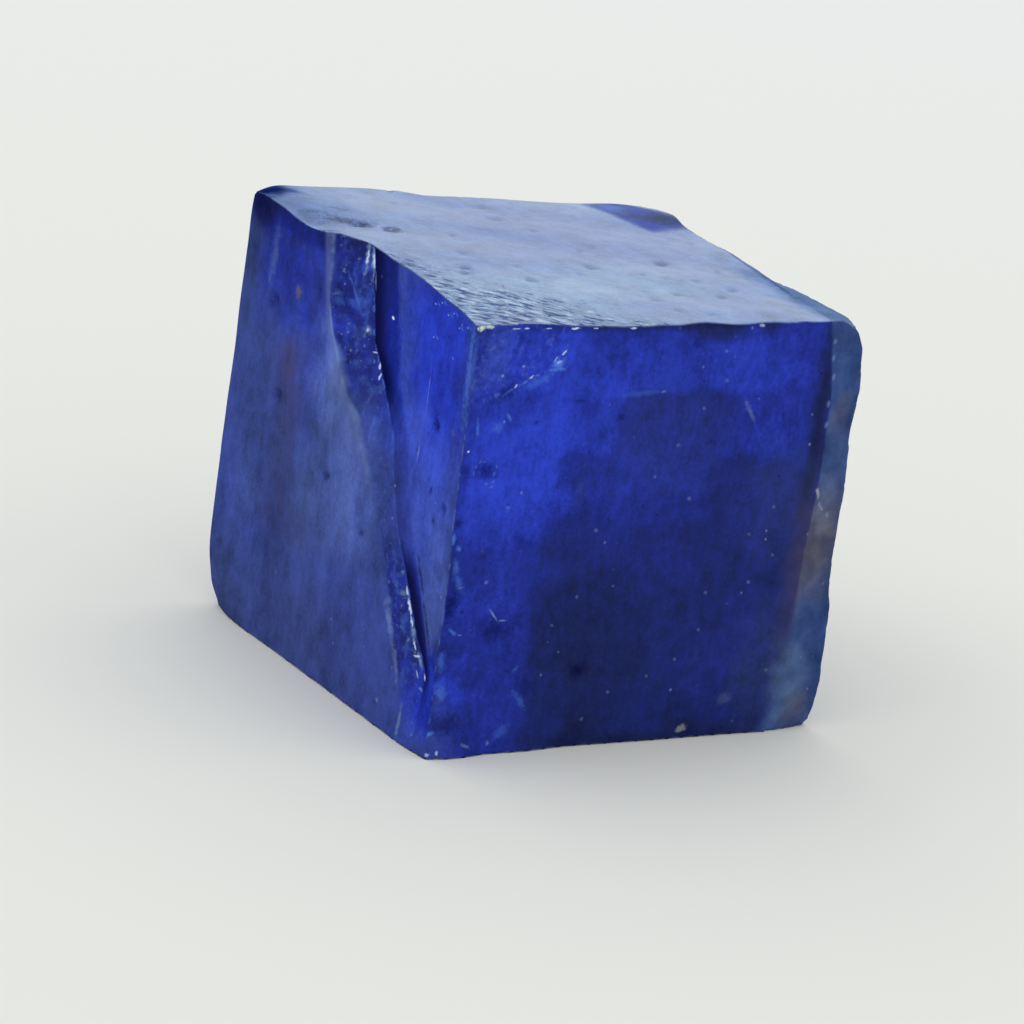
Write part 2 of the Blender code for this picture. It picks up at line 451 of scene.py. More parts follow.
@dataclass
class NaturalSkin:
    """The frosted skin: the right side, the strip at the right of the front, and the bevel on top.

    The strip's lines are (height, distance from the left) and (height, width of its fading edge), and the
    bevel's is (distance from the front, distance from the left), in mm.
    """

    strip: Line = (
        (0, 22.2), (3, 22.6), (5.8, 23.2), (8, 23.6), (10.6, 23.8), (15.4, 24.0), (20, 24.0), (24.6, 23.3),
    )
    strip_fade: Line = ((0, 1.6), (3, 1.5), (6, 1.0), (8, 0.35), (12, 0.15), (25, 0.12))
    bevel: Line = ((0.4, 23.2), (2.4, 23.5), (5.4, 23.8), (8, 24.3), (10.5, 24.9), (18, 25.7), (26, 26.0))
    bevel_fade: float = 0.15
    grain_height: float = 0.05
    grain_pitch: float = 0.45

    def mark(self, places: np.ndarray, sides: dict[Side, np.ndarray]) -> np.ndarray:
        """How much each place is skin.

        Args:
            places: places in mm from the block's corner.
            sides: how much each place is on each side.

        Returns:
            A share from 0 to 1 for each place.
        """
        inside = places[:, 0] - along(self.strip, places[:, 2])
        strip = soft(inside / along(self.strip_fade, places[:, 2])) * sides[Side.FRONT]
        bevel = soft((places[:, 0] - along(self.bevel, places[:, 1])) / self.bevel_fade) * sides[Side.TOP]
        return np.clip(strip + bevel + sides[Side.RIGHT], 0, 1)

    def inward(self, places: np.ndarray, skin: np.ndarray) -> np.ndarray:
        """How far the skin's grain lies in, in mm."""
        return self.grain_height * wavy(places, self.grain_pitch, GRAIN_LAYER) * skin


class Value:
    """A number that a node gives, so that node maths reads as a Python expression."""

    def __init__(self, graph: "Graph", socket: Socket) -> None:
        """Wraps a node's output socket.

        Args:
            graph: the graph that the node is in.
            socket: the output socket.
        """
        self.graph = graph
        self.socket = socket

    def _maths(self, operation: str, first: Any, second: Any) -> "Value":
        """One Math node on two values."""
        node = self.graph.add("ShaderNodeMath", {"operation": operation}, {0: first, 1: second})
        return Value(self.graph, node.outputs[0])

    def __add__(self, other: Any) -> "Value":
        """Adds a number or a value."""
        return self._maths("ADD", self, other)

    __radd__ = __add__

    def __mul__(self, other: Any) -> "Value":
        """Multiplies by a number or a value."""
        return self._maths("MULTIPLY", self, other)

    __rmul__ = __mul__

    def __sub__(self, other: Any) -> "Value":
        """Takes away a number or a value."""
        return self._maths("SUBTRACT", self, other)

    def __rsub__(self, other: Any) -> "Value":
        """Takes this away from a number."""
        return self._maths("SUBTRACT", other, self)

    def __truediv__(self, other: Any) -> "Value":
        """Divides by a number or a value."""
        return self._maths("DIVIDE", self, other)

    def __pow__(self, other: Any) -> "Value":
        """Raises to a power."""
        return self._maths("POWER", self, other)

    def ridge(self, centre: float, reach: float) -> "Value":
        """One at a centre, falling softly to nothing at a reach on either side of it."""
        return self._maths("ABSOLUTE", self - centre, 0.0).between(reach, 0.0)

    def between(self, low: float, high: float, to_low: float = 0.0, to_high: float = 1.0) -> "Value":
        """A soft step as this goes from low to high.

        Args:
            low: where the step starts.
            high: where it ends.
            to_low: the result at and before the start.
            to_high: the result at and past the end.

        Returns:
            The stepped value.
        """
        settings = {"interpolation_type": "SMOOTHSTEP"}
        sockets = {"Value": self, "From Min": low, "From Max": high, "To Min": to_low, "To Max": to_high}
        return Value(self.graph, self.graph.add("ShaderNodeMapRange", settings, sockets).outputs[0])


class Graph:
    """A node tree being built, for a material or for Geometry Nodes."""

    def __init__(self, tree: bpy.types.NodeTree) -> None:
        """Starts from an empty tree.

        Args:
            tree: the tree, whose nodes are cleared.
        """
        self.tree = tree
        tree.nodes.clear()

    def add(self, kind: str, settings: dict[str, Any], sockets: dict[Any, Any]) -> bpy.types.Node:
        """Adds one node.

        Args:
            kind: the node's type.
            settings: its settings, which are set first; a ramp's stops are (place, colour) pairs.
            sockets: its inputs by name or number, each a value, a plain number or colour, or a socket.

        Returns:
            The new node.
        """
        node = self.tree.nodes.new(kind)
        for name, setting in settings.items():
            if name == "stops":
                self._set_stops(node.color_ramp, setting)
            else:
                setattr(node, name, setting)
        for name, value in sockets.items():
            if isinstance(value, Value):
                self.tree.links.new(value.socket, node.inputs[name])
            elif isinstance(value, Socket):
                self.tree.links.new(value, node.inputs[name])
            else:
                node.inputs[name].default_value = value
        return node

    @staticmethod
    def _set_stops(ramp: bpy.types.ColorRamp, stops: Sequence[tuple[float, Colour]]) -> None:
        """Gives a ramp its stops.

        Args:
            ramp: the ramp, which has no more stops yet than it is given.
            stops: the (place, colour) pairs.
        """
        while len(ramp.elements) < len(stops):
            ramp.elements.new(1.0)
        for element, (place, colour) in zip(ramp.elements, stops):
            element.position = place
            element.color = (*colour, 1.0)

    def mark(self, mark: Enum) -> Value:
        """The value of a mark or a side on the mesh."""
        node = self.add("ShaderNodeAttribute", {"attribute_name": mark.value}, {})
        return Value(self, node.outputs["Fac"])

    def blend(self, factor: Any, first: Any, second: Any, how: str = "MIX") -> Socket:
        """Mixes two colours.

        Args:
            factor: how much of the second is taken.
            first: the first colour.
            second: the second colour.
            how: the blend type.

        Returns:
            The mixed colour's socket.
        """
        settings = {"data_type": "RGBA", "blend_type": how, "clamp_factor": True}
        whole = [(*colour, 1.0) if isinstance(colour, tuple) else colour for colour in (first, second)]
        return self.add("ShaderNodeMix", settings, {0: factor, 6: whole[0], 7: whole[1]}).outputs[2]


@dataclass(frozen=True)
class Pattern:
    """A fractal noise pattern in the crystal.

    Attributes:
        scale: waves to the millimetre.
        detail: how many finer layers are added.
        bend: how far the noise distorts itself.
        squeeze: how much finer it is along each of its three directions; below 1 it is drawn out.
        turn: how far those directions are turned round x, y and z, in radians.
    """

    scale: float
    detail: float = 3.0
    bend: float = 0.0
    squeeze: Place | None = None
    turn: Place = (0.0, 0.0, 0.0)


@dataclass(frozen=True)
class Cut:
    """How a value becomes an amount: none at one value of it, and the whole amount at another."""

    none_at: float
    whole_at: float
    amount: float = 1.0

    def of(self, value: Value) -> Value:
        """The amount at each place."""
        return value.between(self.none_at, self.whole_at, 0.0, self.amount)


@dataclass(frozen=True)
class Palette:
    """The crystal's colours, which are linear."""

    ink: Colour = (0.002, 0.004, 0.055)
    navy: Colour = (0.006, 0.0115, 0.09)
    royal: Colour = (0.0115, 0.024, 0.30)
    vivid: Colour = (0.024, 0.055, 0.62)
    haze: Colour = (0.26, 0.39, 0.60)
    # The colour of the top's painted sheen.
    top_sheen: Colour = (0.30, 0.50, 0.60)
    azure: Colour = (0.085, 0.20, 0.74)
    # The painted shade in the pocks on the top.
    pock_shade: Colour = (0.012, 0.030, 0.21)
    speck: Colour = (0.26, 0.32, 0.58)
    frost: Colour = (0.034, 0.070, 0.215)
    rust: Colour = (0.115, 0.105, 0.135)
    stain: Colour = (0.06, 0.05, 0.12)
    # The colours of painted highlights; bone is also used for pale marks.
    glint: Colour = (0.62, 0.74, 0.98)
    bone: Colour = (0.72, 0.78, 0.62)


PALETTE = Palette()


class Canvas(Graph):
    """The crystal's material as it is painted: its coordinates in mm, its patterns, and its colour so far."""

    def __init__(self, tree: bpy.types.NodeTree, patterns: dict[str, Pattern]) -> None:
        """Starts a material with no colour yet.

        Args:
            tree: the material's tree.
            patterns: the noise patterns that the colour and the relief share, by name.
        """
        super().__init__(tree)
        coordinates = self.add("ShaderNodeTexCoord", {}, {}).outputs["Object"]
        sockets = {"Vector": coordinates, "Location": tuple(-CORNER), "Scale": (1 / MM,) * 3}
        self.place = self.add("ShaderNodeMapping", {"vector_type": "POINT"}, sockets).outputs[0]
        self.shared = {name: self.centred(pattern) for name, pattern in patterns.items()}
        self.colour: Any = PALETTE.ink

    def drawn(self, pattern: Pattern) -> Value:
        """The value of a pattern, from 0 to 1.

        Args:
            pattern: the pattern to draw.

        Returns:
            Its value at each place.
        """
        place = self.place
        if pattern.squeeze:
            stretch = tuple(1 / factor for factor in pattern.squeeze)
            sockets = {"Vector": place, "Rotation": pattern.turn, "Scale": stretch}
            place = self.add("ShaderNodeMapping", {"vector_type": "TEXTURE"}, sockets).outputs[0]
        sockets = {"Vector": place, "Scale": pattern.scale, "Detail": pattern.detail}
        node = self.add("ShaderNodeTexNoise", {}, {**sockets, "Distortion": pattern.bend})
        return Value(self, node.outputs[0])

    def centred(self, pattern: Pattern) -> Value:
        """The value of a pattern, centred on 0."""
        return self.drawn(pattern) - 0.5

    def mixed(self, weights: Weights) -> Value:
        """The sum of some of the shared patterns, each with its weight."""
        return sum(self.shared[name] * weight for name, weight in weights)

    def lay(self, cover: Any, colour: Any) -> None:
        """Lays a colour over the colour so far, as far as it covers."""
        self.colour = self.blend(cover, self.colour, colour)


@dataclass(frozen=True)
class ChannelLook:
    """The colours of the channel: a band of painted shade, a blotched wall, a pale rim, and painted glints
    along the groove.

    Distances from the groove and from the band's front are in mm, and those from the rim are shares of its
    width. The band's painted shade is darkest near the groove, the wall's palest dots are painted glints, and
    the rim's crest and the sparkle have gaps.
    """

    band_front: Cut = Cut(-0.3, 0.5)
    band_back: Cut = Cut(0.15, -0.15)
    band_shade_near_groove: tuple[float, ...] = (-2.0, -0.5, 0.35, 1.0)
    blotches: tuple[tuple[Pattern, Cut, Colour], ...] = (
        (Pattern(0.9, 4.0, 0.2), Cut(0.56, 0.38, 0.5), PALETTE.ink),
        (Pattern(1.3, 4.0, 0.2), Cut(0.46, 0.74, 0.34), PALETTE.azure),
        # Pale dots, painted glints on the wall's facets.
        (Pattern(3.0, 3.0, 0.1), Cut(0.60, 0.74, 0.36), PALETTE.haze),
    )
    rim_start: Cut = Cut(-0.03, 0.1)
    rim_end: Cut = Cut(1.2, 0.3, 0.2)
    crest_place: float = 0.12
    crest_reach: float = 0.22
    crest_gaps: Pattern = Pattern(0.8)
    crest: Cut = Cut(0.4, 0.6, 0.3)
    groove_place: float = 0.05
    groove_reach: float = 0.18
    sparkle_gaps: Pattern = Pattern(1.5, 3.0, 0.4)
    sparkle: Cut = Cut(0.53, 0.60, 0.5)

    def paint(self, canvas: Canvas) -> None:
        """Paints the channel.

        Args:
            canvas: the material being painted.
        """
        hackle, opened, pale = (canvas.mark(mark) for mark in (Mark.HACKLE, Mark.OPEN, Mark.RIM_PALE))
        floor, band, rim = (canvas.mark(mark) for mark in (Mark.FLOOR, Mark.BAND, Mark.RIM))
        smooth_band = self.band_front.of(band) * self.band_back.of(floor) * opened
        # Painted shade in the smooth band, darkest near the groove.
        canvas.lay(smooth_band * floor.between(*self.band_shade_near_groove), PALETTE.ink)
        for pattern, cut, colour in self.blotches:
            canvas.lay(cut.of(canvas.drawn(pattern)) * hackle, colour)
        canvas.lay(self.rim_start.of(rim) * self.rim_end.of(rim) * pale, PALETTE.speck)
        crest = rim.ridge(self.crest_place, self.crest_reach) * pale
        canvas.lay(crest * self.crest.of(canvas.drawn(self.crest_gaps)), PALETTE.haze)
        # Painted glints along the groove.
        groove = floor.ridge(self.groove_place, self.groove_reach) * opened
        canvas.lay(groove * self.sparkle.of(canvas.drawn(self.sparkle_gaps)), PALETTE.azure)


@dataclass(frozen=True)
class ChipLook:
    """The colours of the chip on the front: faint curls inside, and a bright broken line at its step, which
    is a painted highlight.

    The line's place above the step and its reach are in mm.
    """

    curls: Pattern = Pattern(2.6, 5.0, 0.4)
    dark_curls: Cut = Cut(0.52, 0.34, 0.28)
    pale_curls: Cut = Cut(0.54, 0.74, 0.16)
    line_gaps: Pattern = Pattern(2.2, 3.0, 0.4)
    line: Cut = Cut(0.46, 0.58, 0.7)
    line_place: float = 0.03
    line_reach: float = 0.11

    def paint(self, canvas: Canvas) -> None:
        """Paints the chip.

        Args:
            canvas: the material being painted.
        """
        inside, curls = canvas.mark(Mark.CHIP), canvas.drawn(self.curls)
        canvas.lay(inside * self.dark_curls.of(curls), PALETTE.ink)
        canvas.lay(inside * self.pale_curls.of(curls), PALETTE.haze)
        above = canvas.mark(Mark.STEP_DISTANCE)
        # A painted highlight along the step, broken into gaps.
        line = above.ridge(self.line_place, self.line_reach) * canvas.mark(Mark.STEP)
        canvas.lay(line * self.line.of(canvas.drawn(self.line_gaps)), PALETTE.azure)


@dataclass(frozen=True)
class FleckLook:
    """The flecks: first those scattered anywhere, then the named ones, tone by tone.

    The scattered ones are the middles of the cells that are picked. A named fleck ends where the distance
    from its middle, in units of its reach and made ragged by noise, runs out.
    """

    scatter_scale: float = 1.0
    scatter_middle: Cut = Cut(0.13, 0.03)
    pale_picked: Cut = Cut(0.66, 0.95, 0.5)
    dark_picked: Cut = Cut(0.30, 0.05, 0.6)
    coarse_edge: Pattern = Pattern(2.6)
    coarse_stray: float = 1.7
    fine_edge: Pattern = Pattern(6.0, 2.0)
    fine_stray: float = 1.4
    crisp_tones: tuple[Tone, ...] = (Tone.GLINT, Tone.BONE)
    crisp: Cut = Cut(1.15, 0.4)
    soft: Cut = Cut(1.4, 0.0)
    soft_fine_share: float = 0.7

    def paint(self, canvas: Canvas) -> Value:
        """Paints the flecks.

        Args:
            canvas: the material being painted.

        Returns:
            How much each place is under a dark fleck.
        """
        sockets = {"Vector": canvas.place, "Scale": self.scatter_scale}
        cells = canvas.add("ShaderNodeTexVoronoi", {}, sockets).outputs
        chosen = Value(canvas, canvas.add("ShaderNodeSeparateColor", {}, {0: cells["Color"]}).outputs[0])
        middle = self.scatter_middle.of(Value(canvas, cells["Distance"]))
        canvas.lay(middle * self.pale_picked.of(chosen), PALETTE.speck)
        canvas.lay(middle * self.dark_picked.of(chosen) * (1 - canvas.mark(Side.TOP)), PALETTE.ink)
        ragged = canvas.centred(self.coarse_edge) * self.coarse_stray
        nicked = canvas.centred(self.fine_edge) * self.fine_stray
        covers = {}
        for tone in Tone:
            name = FLECK_ATTRIBUTE.format(tone.value)
            seen = canvas.add("ShaderNodeAttribute", {"attribute_name": name}, {}).outputs["Vector"]
            parts = canvas.add("ShaderNodeSeparateXYZ", {}, {0: seen}).outputs
            across, rise, strength = (Value(canvas, part) for part in parts)
            away = (across * across + rise * rise) ** 0.5
            if tone in self.crisp_tones:
                covers[tone] = self.crisp.of(away + nicked) * strength
            else:
                covers[tone] = self.soft.of(away + ragged + nicked * self.soft_fine_share) * strength
            canvas.lay(covers[tone], getattr(PALETTE, tone.value))
        return covers[Tone.INK]


@dataclass(frozen=True)
class CrystalFinish:
    """Cloudy violet-blue crystal: a mottled body, pale haze and painted sheen, frosted skin, and small
    flecks, some of them painted highlights and painted shade.

    The colour runs through the glow colours, from stop to stop. Weights say how much of each shared pattern
    goes into a sum, and those for the left side are added there. Heights are in mm.
    """

    glow_stops: tuple[tuple[float, Colour], ...] = (
        (0.0, PALETTE.ink), (0.15, PALETTE.navy), (0.5, PALETTE.royal), (1.0, PALETTE.vivid),
    )
    patterns: tuple[tuple[str, Pattern], ...] = (
        ("clouds", Pattern(0.24, 4.0, 0.5)),
        ("wisps", Pattern(0.8, 5.0, 0.3)),
        ("grain", Pattern(4.5, 2.0)),
        ("streaks", Pattern(1.0, 3.0, 0.3, (0.75, 0.75, 0.12))),
        ("curds", Pattern(2.4, 4.0, 0.4, (1.0, 1.0, 0.4))),
        ("pocks", Pattern(2.6, 5.0, 0.4, (0.45, 1.0, 1.0), (0.0, 0.0, -0.8))),
    )
    mottle: Weights = (("clouds", 0.5), ("wisps", 0.5), ("grain", 0.4), ("curds", 0.5))
    mottle_by_glow: tuple[float, ...] = (0.1, 0.7, 0.4, 1.2)
    curds_calmed_left: float = 0.3
    left_mottle: Weights = (("streaks", 0.22), ("curds", 0.14))
    haze_breaks: Weights = (("wisps", 0.9), ("grain", 0.5), ("clouds", 0.7))
    left_haze_breaks: Weights = (("streaks", 0.9), ("curds", 0.35))
    # Painted shade in the pocks' floors, and painted highlights on their crests.
    shaded_pock_floors: Cut = Cut(0.02, 0.10)
    pock_shade_cover: float = 0.85
    pock_highlights: Cut = Cut(-0.03, -0.12, 0.5)
    stain_cover: float = 0.8
    rust_wisps: float = 0.5
    frost_cover: float = 0.92
    frost_breaks: Weights = (("wisps", 0.5), ("grain", 0.3))
    frost_mottle: Weights = (("clouds", 1.2), ("wisps", 0.9))
    highlight_gaps: Pattern = Pattern(1.6)
    highlight_cut: Cut = Cut(0.47, 0.62, 0.25)

    refraction: float = 1.69
    roughness: float = 0.36
    skin_roughness: float = 0.2
    left_roughness: float = 0.06
    top_polish: float = 0.20
    uneven: Pattern = Pattern(0.9)
    uneven_roughness: float = 0.25
    glassy_specular: float = 0.5
    hackle_gloss: float = 0.1
    skin_dulling: float = 0.75
    pock_dulling: float = 0.5
    fleck_dulling: float = 0.7

    roughened: Pattern = Pattern(3.5, 4.0, 0.5)
    body_height: float = 0.015
    skin_height: float = 0.05
    hackle_height: float = 0.12
    dimpled: Pattern = Pattern(1.5, 4.0, 0.4)
    top_height: float = 0.02
    dimple_height: float = 0.2
    streak_height: float = 0.03
    pock_depth: float = 0.3

    channel: ChannelLook = ChannelLook()
    chip: ChipLook = ChipLook()
    flecks: FleckLook = FleckLook()

    def material(self) -> bpy.types.Material:
        """Builds the material.

        Returns:
            The crystal material.
        """
        material = bpy.data.materials.new("tanzanite_crystal")
        material.use_nodes = True
        canvas = Canvas(material.node_tree, dict(self.patterns))
        canvas.shared["pocks"] = canvas.shared["pocks"] * canvas.mark(Mark.DIMPLED)
        self._paint_body(canvas)
        self.channel.paint(canvas)
        self.chip.paint(canvas)
        self._paint_skin(canvas)
        dark = self.flecks.paint(canvas)
        relief = {"Strength": 1.0, "Distance": MM, "Height": self._height(canvas)}
        bump = canvas.add("ShaderNodeBump", {}, relief).outputs[0]
        roughness = self._roughness(canvas)
        shared = {"Base Color": canvas.colour, "Roughness": roughness, "IOR": self.refraction, "Normal": bump}
        dull, glassy = (
            canvas.add("ShaderNodeBsdfPrincipled", {}, {**shared, "Specular IOR Level": level}).outputs[0]
            for level in (0.0, self.glassy_specular)
        )
        mixed = canvas.add("ShaderNodeMixShader", {}, {0: self._shine(canvas, dark), 1: dull, 2: glassy})
        canvas.add("ShaderNodeOutputMaterial", {}, {"Surface": mixed.outputs[0]})
        return material

    def _paint_body(self, canvas: Canvas) -> None:
        """Paints the crystal's own colour: ink to vivid blue by its glow, under a broken haze and painted
        sheen, with painted shade in the pocks' floors and painted highlights on their crests.

        Args:
            canvas: the material being painted.
        """
        left, top, given = canvas.mark(Side.LEFT), canvas.mark(Side.TOP), canvas.mark(Mark.GLOW)
        mottle = canvas.mixed(self.mottle) - canvas.shared["curds"] * left * self.curds_calmed_left
        glow = given + mottle * given.between(*self.mottle_by_glow) + canvas.mixed(self.left_mottle) * left
        ramp = canvas.add("ShaderNodeValToRGB", {"stops": self.glow_stops}, {"Fac": glow})
        canvas.colour = ramp.outputs[0]
        broken = 1 + canvas.mixed(self.haze_breaks) + canvas.mixed(self.left_haze_breaks) * left
        # The haze, which on the top and the left side is painted sheen, a painted reflection of the pale
        # surround.
        canvas.lay(canvas.mark(Mark.HAZE_AND_SHEEN) * broken, canvas.blend(top, PALETTE.haze, PALETTE.top_sheen))
        # Painted shade in the pocks' floors, and painted highlights on their crests.
        canvas.lay(self.shaded_pock_floors.of(canvas.shared["pocks"]) * self.pock_shade_cover, PALETTE.pock_shade)
        canvas.lay(self.pock_highlights.of(canvas.shared["pocks"]), PALETTE.glint)

    def _paint_skin(self, canvas: Canvas) -> None:
        """Paints the stains, the frosted skin and its rust, and the painted highlights along the edges.

        Args:
            canvas: the material being painted.
        """
        skin, rust, haze_and_sheen = canvas.mark(Mark.SKIN), canvas.mark(Mark.RUST), canvas.mark(Mark.HAZE_AND_SHEEN)
        wisps = canvas.shared["wisps"]
        canvas.lay(rust * self.stain_cover + wisps * rust, PALETTE.stain)
        frost = canvas.blend(rust + wisps * self.rust_wisps, PALETTE.frost, PALETTE.rust)
        frost = canvas.blend(haze_and_sheen, frost, PALETTE.haze)
        frost = canvas.blend(1.0, frost, 1 + canvas.mixed(self.frost_mottle), "MULTIPLY")
        canvas.lay(skin * (self.frost_cover + canvas.mixed(self.frost_breaks)), frost)
        # Painted highlights along the edges that turn outwards.
        canvas.lay(canvas.mark(Mark.EDGE) * self.highlight_cut.of(canvas.drawn(self.highlight_gaps)), PALETTE.haze)

    def _roughness(self, canvas: Canvas) -> Value:
        """How rough the surface is: more in the skin and on the left side, less on the top.

        Args:
            canvas: the material being painted.

        Returns:
            The roughness.
        """
        skin, top, left = canvas.mark(Mark.SKIN), canvas.mark(Side.TOP), canvas.mark(Side.LEFT)
        even = self.roughness + skin * self.skin_roughness + left * self.left_roughness
        return even - top * self.top_polish + canvas.centred(self.uneven) * self.uneven_roughness

    def _shine(self, canvas: Canvas, dark: Value) -> Value:
        """How glassy the surface is: less in the skin, in the pocks and under dark flecks.

        Args:
            canvas: the material being painted.
            dark: how much each place is under a dark fleck.

        Returns:
            The share of the glassy surface.
        """
        shine = canvas.mark(Mark.GLOSS) + canvas.mark(Mark.HACKLE) * self.hackle_gloss
        shine = shine * (1 - canvas.mark(Mark.SKIN) * self.skin_dulling)
        shine = shine * (1 - self.shaded_pock_floors.of(canvas.shared["pocks"]) * self.pock_dulling)
        return shine * (1 - dark * self.fleck_dulling)

    def _height(self, canvas: Canvas) -> Value:
        """The fine relief of the surface.

        Args:
            canvas: the material being painted.

        Returns:
            The height, in mm.
        """
        top, left, skin = canvas.mark(Side.TOP), canvas.mark(Side.LEFT), canvas.mark(Mark.SKIN)
        rough = self.body_height + skin * self.skin_height + canvas.mark(Mark.HACKLE) * self.hackle_height
        dimples = top * (self.top_height + canvas.mark(Mark.DIMPLED) * self.dimple_height)
        height = canvas.drawn(self.roughened) * rough + canvas.drawn(self.dimpled) * dimples
        height = height + canvas.shared["streaks"] * left * self.streak_height
        return height - canvas.shared["pocks"] * self.pock_depth


@dataclass
class SurfaceRelief:
    """The relief that repeats over the surface: low ripples and scattered pits.

    Sizes are in metres, and the density is in pits to the square metre. The skin ripples less than the
    top does, and the floor is the share of a pit's radius that is at its full depth.
    """

    ripple_height: float = 0.000035
    ripple_pitch: float = 0.0016
    skin_share: float = 0.7
    pit_density: float = 30000.0
    pit_radius: float = 0.00035
    pit_depth: float = 0.00008
    pit_floor: float = 0.2
    seed: int = 11

    def tree(self) -> bpy.types.NodeTree:
        """Builds the Geometry Nodes tree with its named inputs.

        Returns:
            The node tree.
        """
        tree = bpy.data.node_groups.new("surface_relief", "GeometryNodeTree")
        graph = Graph(tree)
        face = tree.interface
        face.new_socket("Geometry", in_out="INPUT", socket_type="NodeSocketGeometry")
        for name in ("Ripple Height", "Ripple Pitch", "Pit Density", "Pit Radius", "Pit Depth"):
            face.new_socket(name, in_out="INPUT", socket_type="NodeSocketFloat")
        face.new_socket("Seed", in_out="INPUT", socket_type="NodeSocketInt")
        face.new_socket("Finish", in_out="INPUT", socket_type="NodeSocketMaterial")
        face.new_socket("Geometry", in_out="OUTPUT", socket_type="NodeSocketGeometry")
        given = graph.add("NodeGroupInput", {}, {}).outputs
        normal = graph.add("GeometryNodeInputNormal", {}, {}).outputs[0]
        rippled = self._moved(graph, given["Geometry"], normal, self._ripples(graph, given))
        pitted = self._moved(graph, rippled, normal, self._pits(graph, given))
        whole = graph.add("GeometryNodeRealizeInstances", {}, {"Geometry": pitted}).outputs[0]
        dressed = graph.add("GeometryNodeSetMaterial", {}, {"Geometry": whole, "Material": given["Finish"]})
        graph.add("NodeGroupOutput", {}, {"Geometry": dressed.outputs[0]})
        return tree

    def _ripples(self, graph: Graph, given: Any) -> Value:
        """How far the ripples lift each place, on the top and the skin.

        Args:
            graph: the tree's graph.
            given: the tree's inputs.

        Returns:
            The rise, in metres.
        """
        ripply = self._attribute(graph, Side.TOP) + self._attribute(graph, Mark.SKIN) * self.skin_share
        sockets = {0: graph.add("GeometryNodeInputPosition", {}, {}).outputs[0], 1: given["Ripple Pitch"]}
        waves = graph.add("ShaderNodeVectorMath", {"operation": "DIVIDE"}, sockets).outputs[0]
        ripple = graph.add("ShaderNodeTexNoise", {}, {"Vector": waves, "Scale": 1.0, "Detail": 2.0})
        return (Value(graph, ripple.outputs[0]) - 0.5) * Value(graph, given["Ripple Height"]) * ripply

    def _pits(self, graph: Graph, given: Any) -> Value:
        """How far the scattered pits lift each place, which is less than nothing.

        Args:
            graph: the tree's graph.
            given: the tree's inputs.

        Returns:
            The rise, in metres.
        """
        sockets = {"Mesh": given["Geometry"], "Density": given["Pit Density"], "Seed": given["Seed"]}
        scatter = graph.add("GeometryNodeDistributePointsOnFaces", {}, sockets)
        points = {0: scatter.outputs["Points"]}
        nearest = graph.add("GeometryNodeProximity", {"target_element": "POINTS"}, points)
        near = Value(graph, nearest.outputs["Distance"]) / Value(graph, given["Pit Radius"])
        return near.between(1.0, self.pit_floor) * Value(graph, given["Pit Depth"]) * -1.0

    @staticmethod
    def _attribute(graph: Graph, mark: Enum) -> Value:
        """The value of a mark or a side, inside Geometry Nodes."""
        node = graph.add("GeometryNodeInputNamedAttribute", {"data_type": "FLOAT"}, {"Name": mark.value})
        return Value(graph, node.outputs[0])

    @staticmethod
    def _moved(graph: Graph, geometry: Socket, normal: Socket, rise: Value) -> Socket:
        """Geometry moved out along its normals.

        Args:
            graph: the tree's graph.
            geometry: the geometry.
            normal: its normals.
            rise: how far it moves, in metres.

        Returns:
            The moved geometry.
        """
        offset = graph.add("ShaderNodeVectorMath", {"operation": "SCALE"}, {0: normal, "Scale": rise})
        sockets = {"Geometry": geometry, "Offset": offset.outputs[0]}
        return graph.add("GeometryNodeSetPosition", {}, sockets).outputs[0]

    def apply(self, piece: bpy.types.Object, finish: bpy.types.Material) -> None:
        """Puts the relief on a piece and leaves it a plain mesh.

        Args:
            piece: the object to work on.
            finish: the material that the result wears.
        """
        tree = self.tree()
        modifier = piece.modifiers.new("surface_relief", "NODES")
        modifier.node_group = tree
        given = {
            "Ripple Height": self.ripple_height,
            "Ripple Pitch": self.ripple_pitch,
            "Pit Density": self.pit_density,
            "Pit Radius": self.pit_radius,
            "Pit Depth": self.pit_depth,
            "Seed": self.seed,
            "Finish": finish,
        }
        for socket in tree.interface.items_tree:
            if socket.name in given:
                modifier[socket.identifier] = given[socket.name]
        make_plain(piece)


def make_plain(piece: bpy.types.Object) -> None:
    """Turns a piece with modifiers into a plain mesh of the same shape.

    Args:
        piece: the piece, which loses its modifiers.
    """
    bpy.context.view_layer.update()
    depsgraph = bpy.context.evaluated_depsgraph_get()
    mesh = bpy.data.meshes.new_from_object(piece.evaluated_get(depsgraph))
    piece.modifiers.clear()
    piece.data = mesh


def patches(side: Side, *rows: Sequence[float]) -> Iterator[Patch]:
    """Patches on one side; a row is a patch's middle, its reach, and then the rest in order."""
    return (Patch(side, row[:2], row[2:4], *row[4:]) for row in rows)


def flecks(tone: Tone, side: Side, *rows: Sequence[float]) -> Iterator[Fleck]:
    """Flecks of one tone on one side; a row is a fleck's middle, its reach, and then the rest in order."""
    return (Fleck(tone, side, row[:3], row[3:5], *row[5:]) for row in rows)


# What each side is like all over, in the order in which Side lists them.
BASE_BY_SIDE: dict[Mark, tuple[float, ...]] = {
    # The top's raised glow and strong haze are its painted sheen.
    Mark.GLOW: (0.345, 0.22, 0.205, 0.30, 0.54, 0.2),
    Mark.HAZE_AND_SHEEN: (0.116, 0.03, 0.018, 0.08, 0.38, 0.03),
    Mark.RUST: (0.0, 0.12, 0.0, 0.0, 0.0, 0.1),
    Mark.GLOSS: (0.05, 0.2, 0.07, 0.2, 0.62, 0.2),
    Mark.DIMPLED: (0.0, 0.0, 0.0, 0.0, 0.0, 0.0),
}

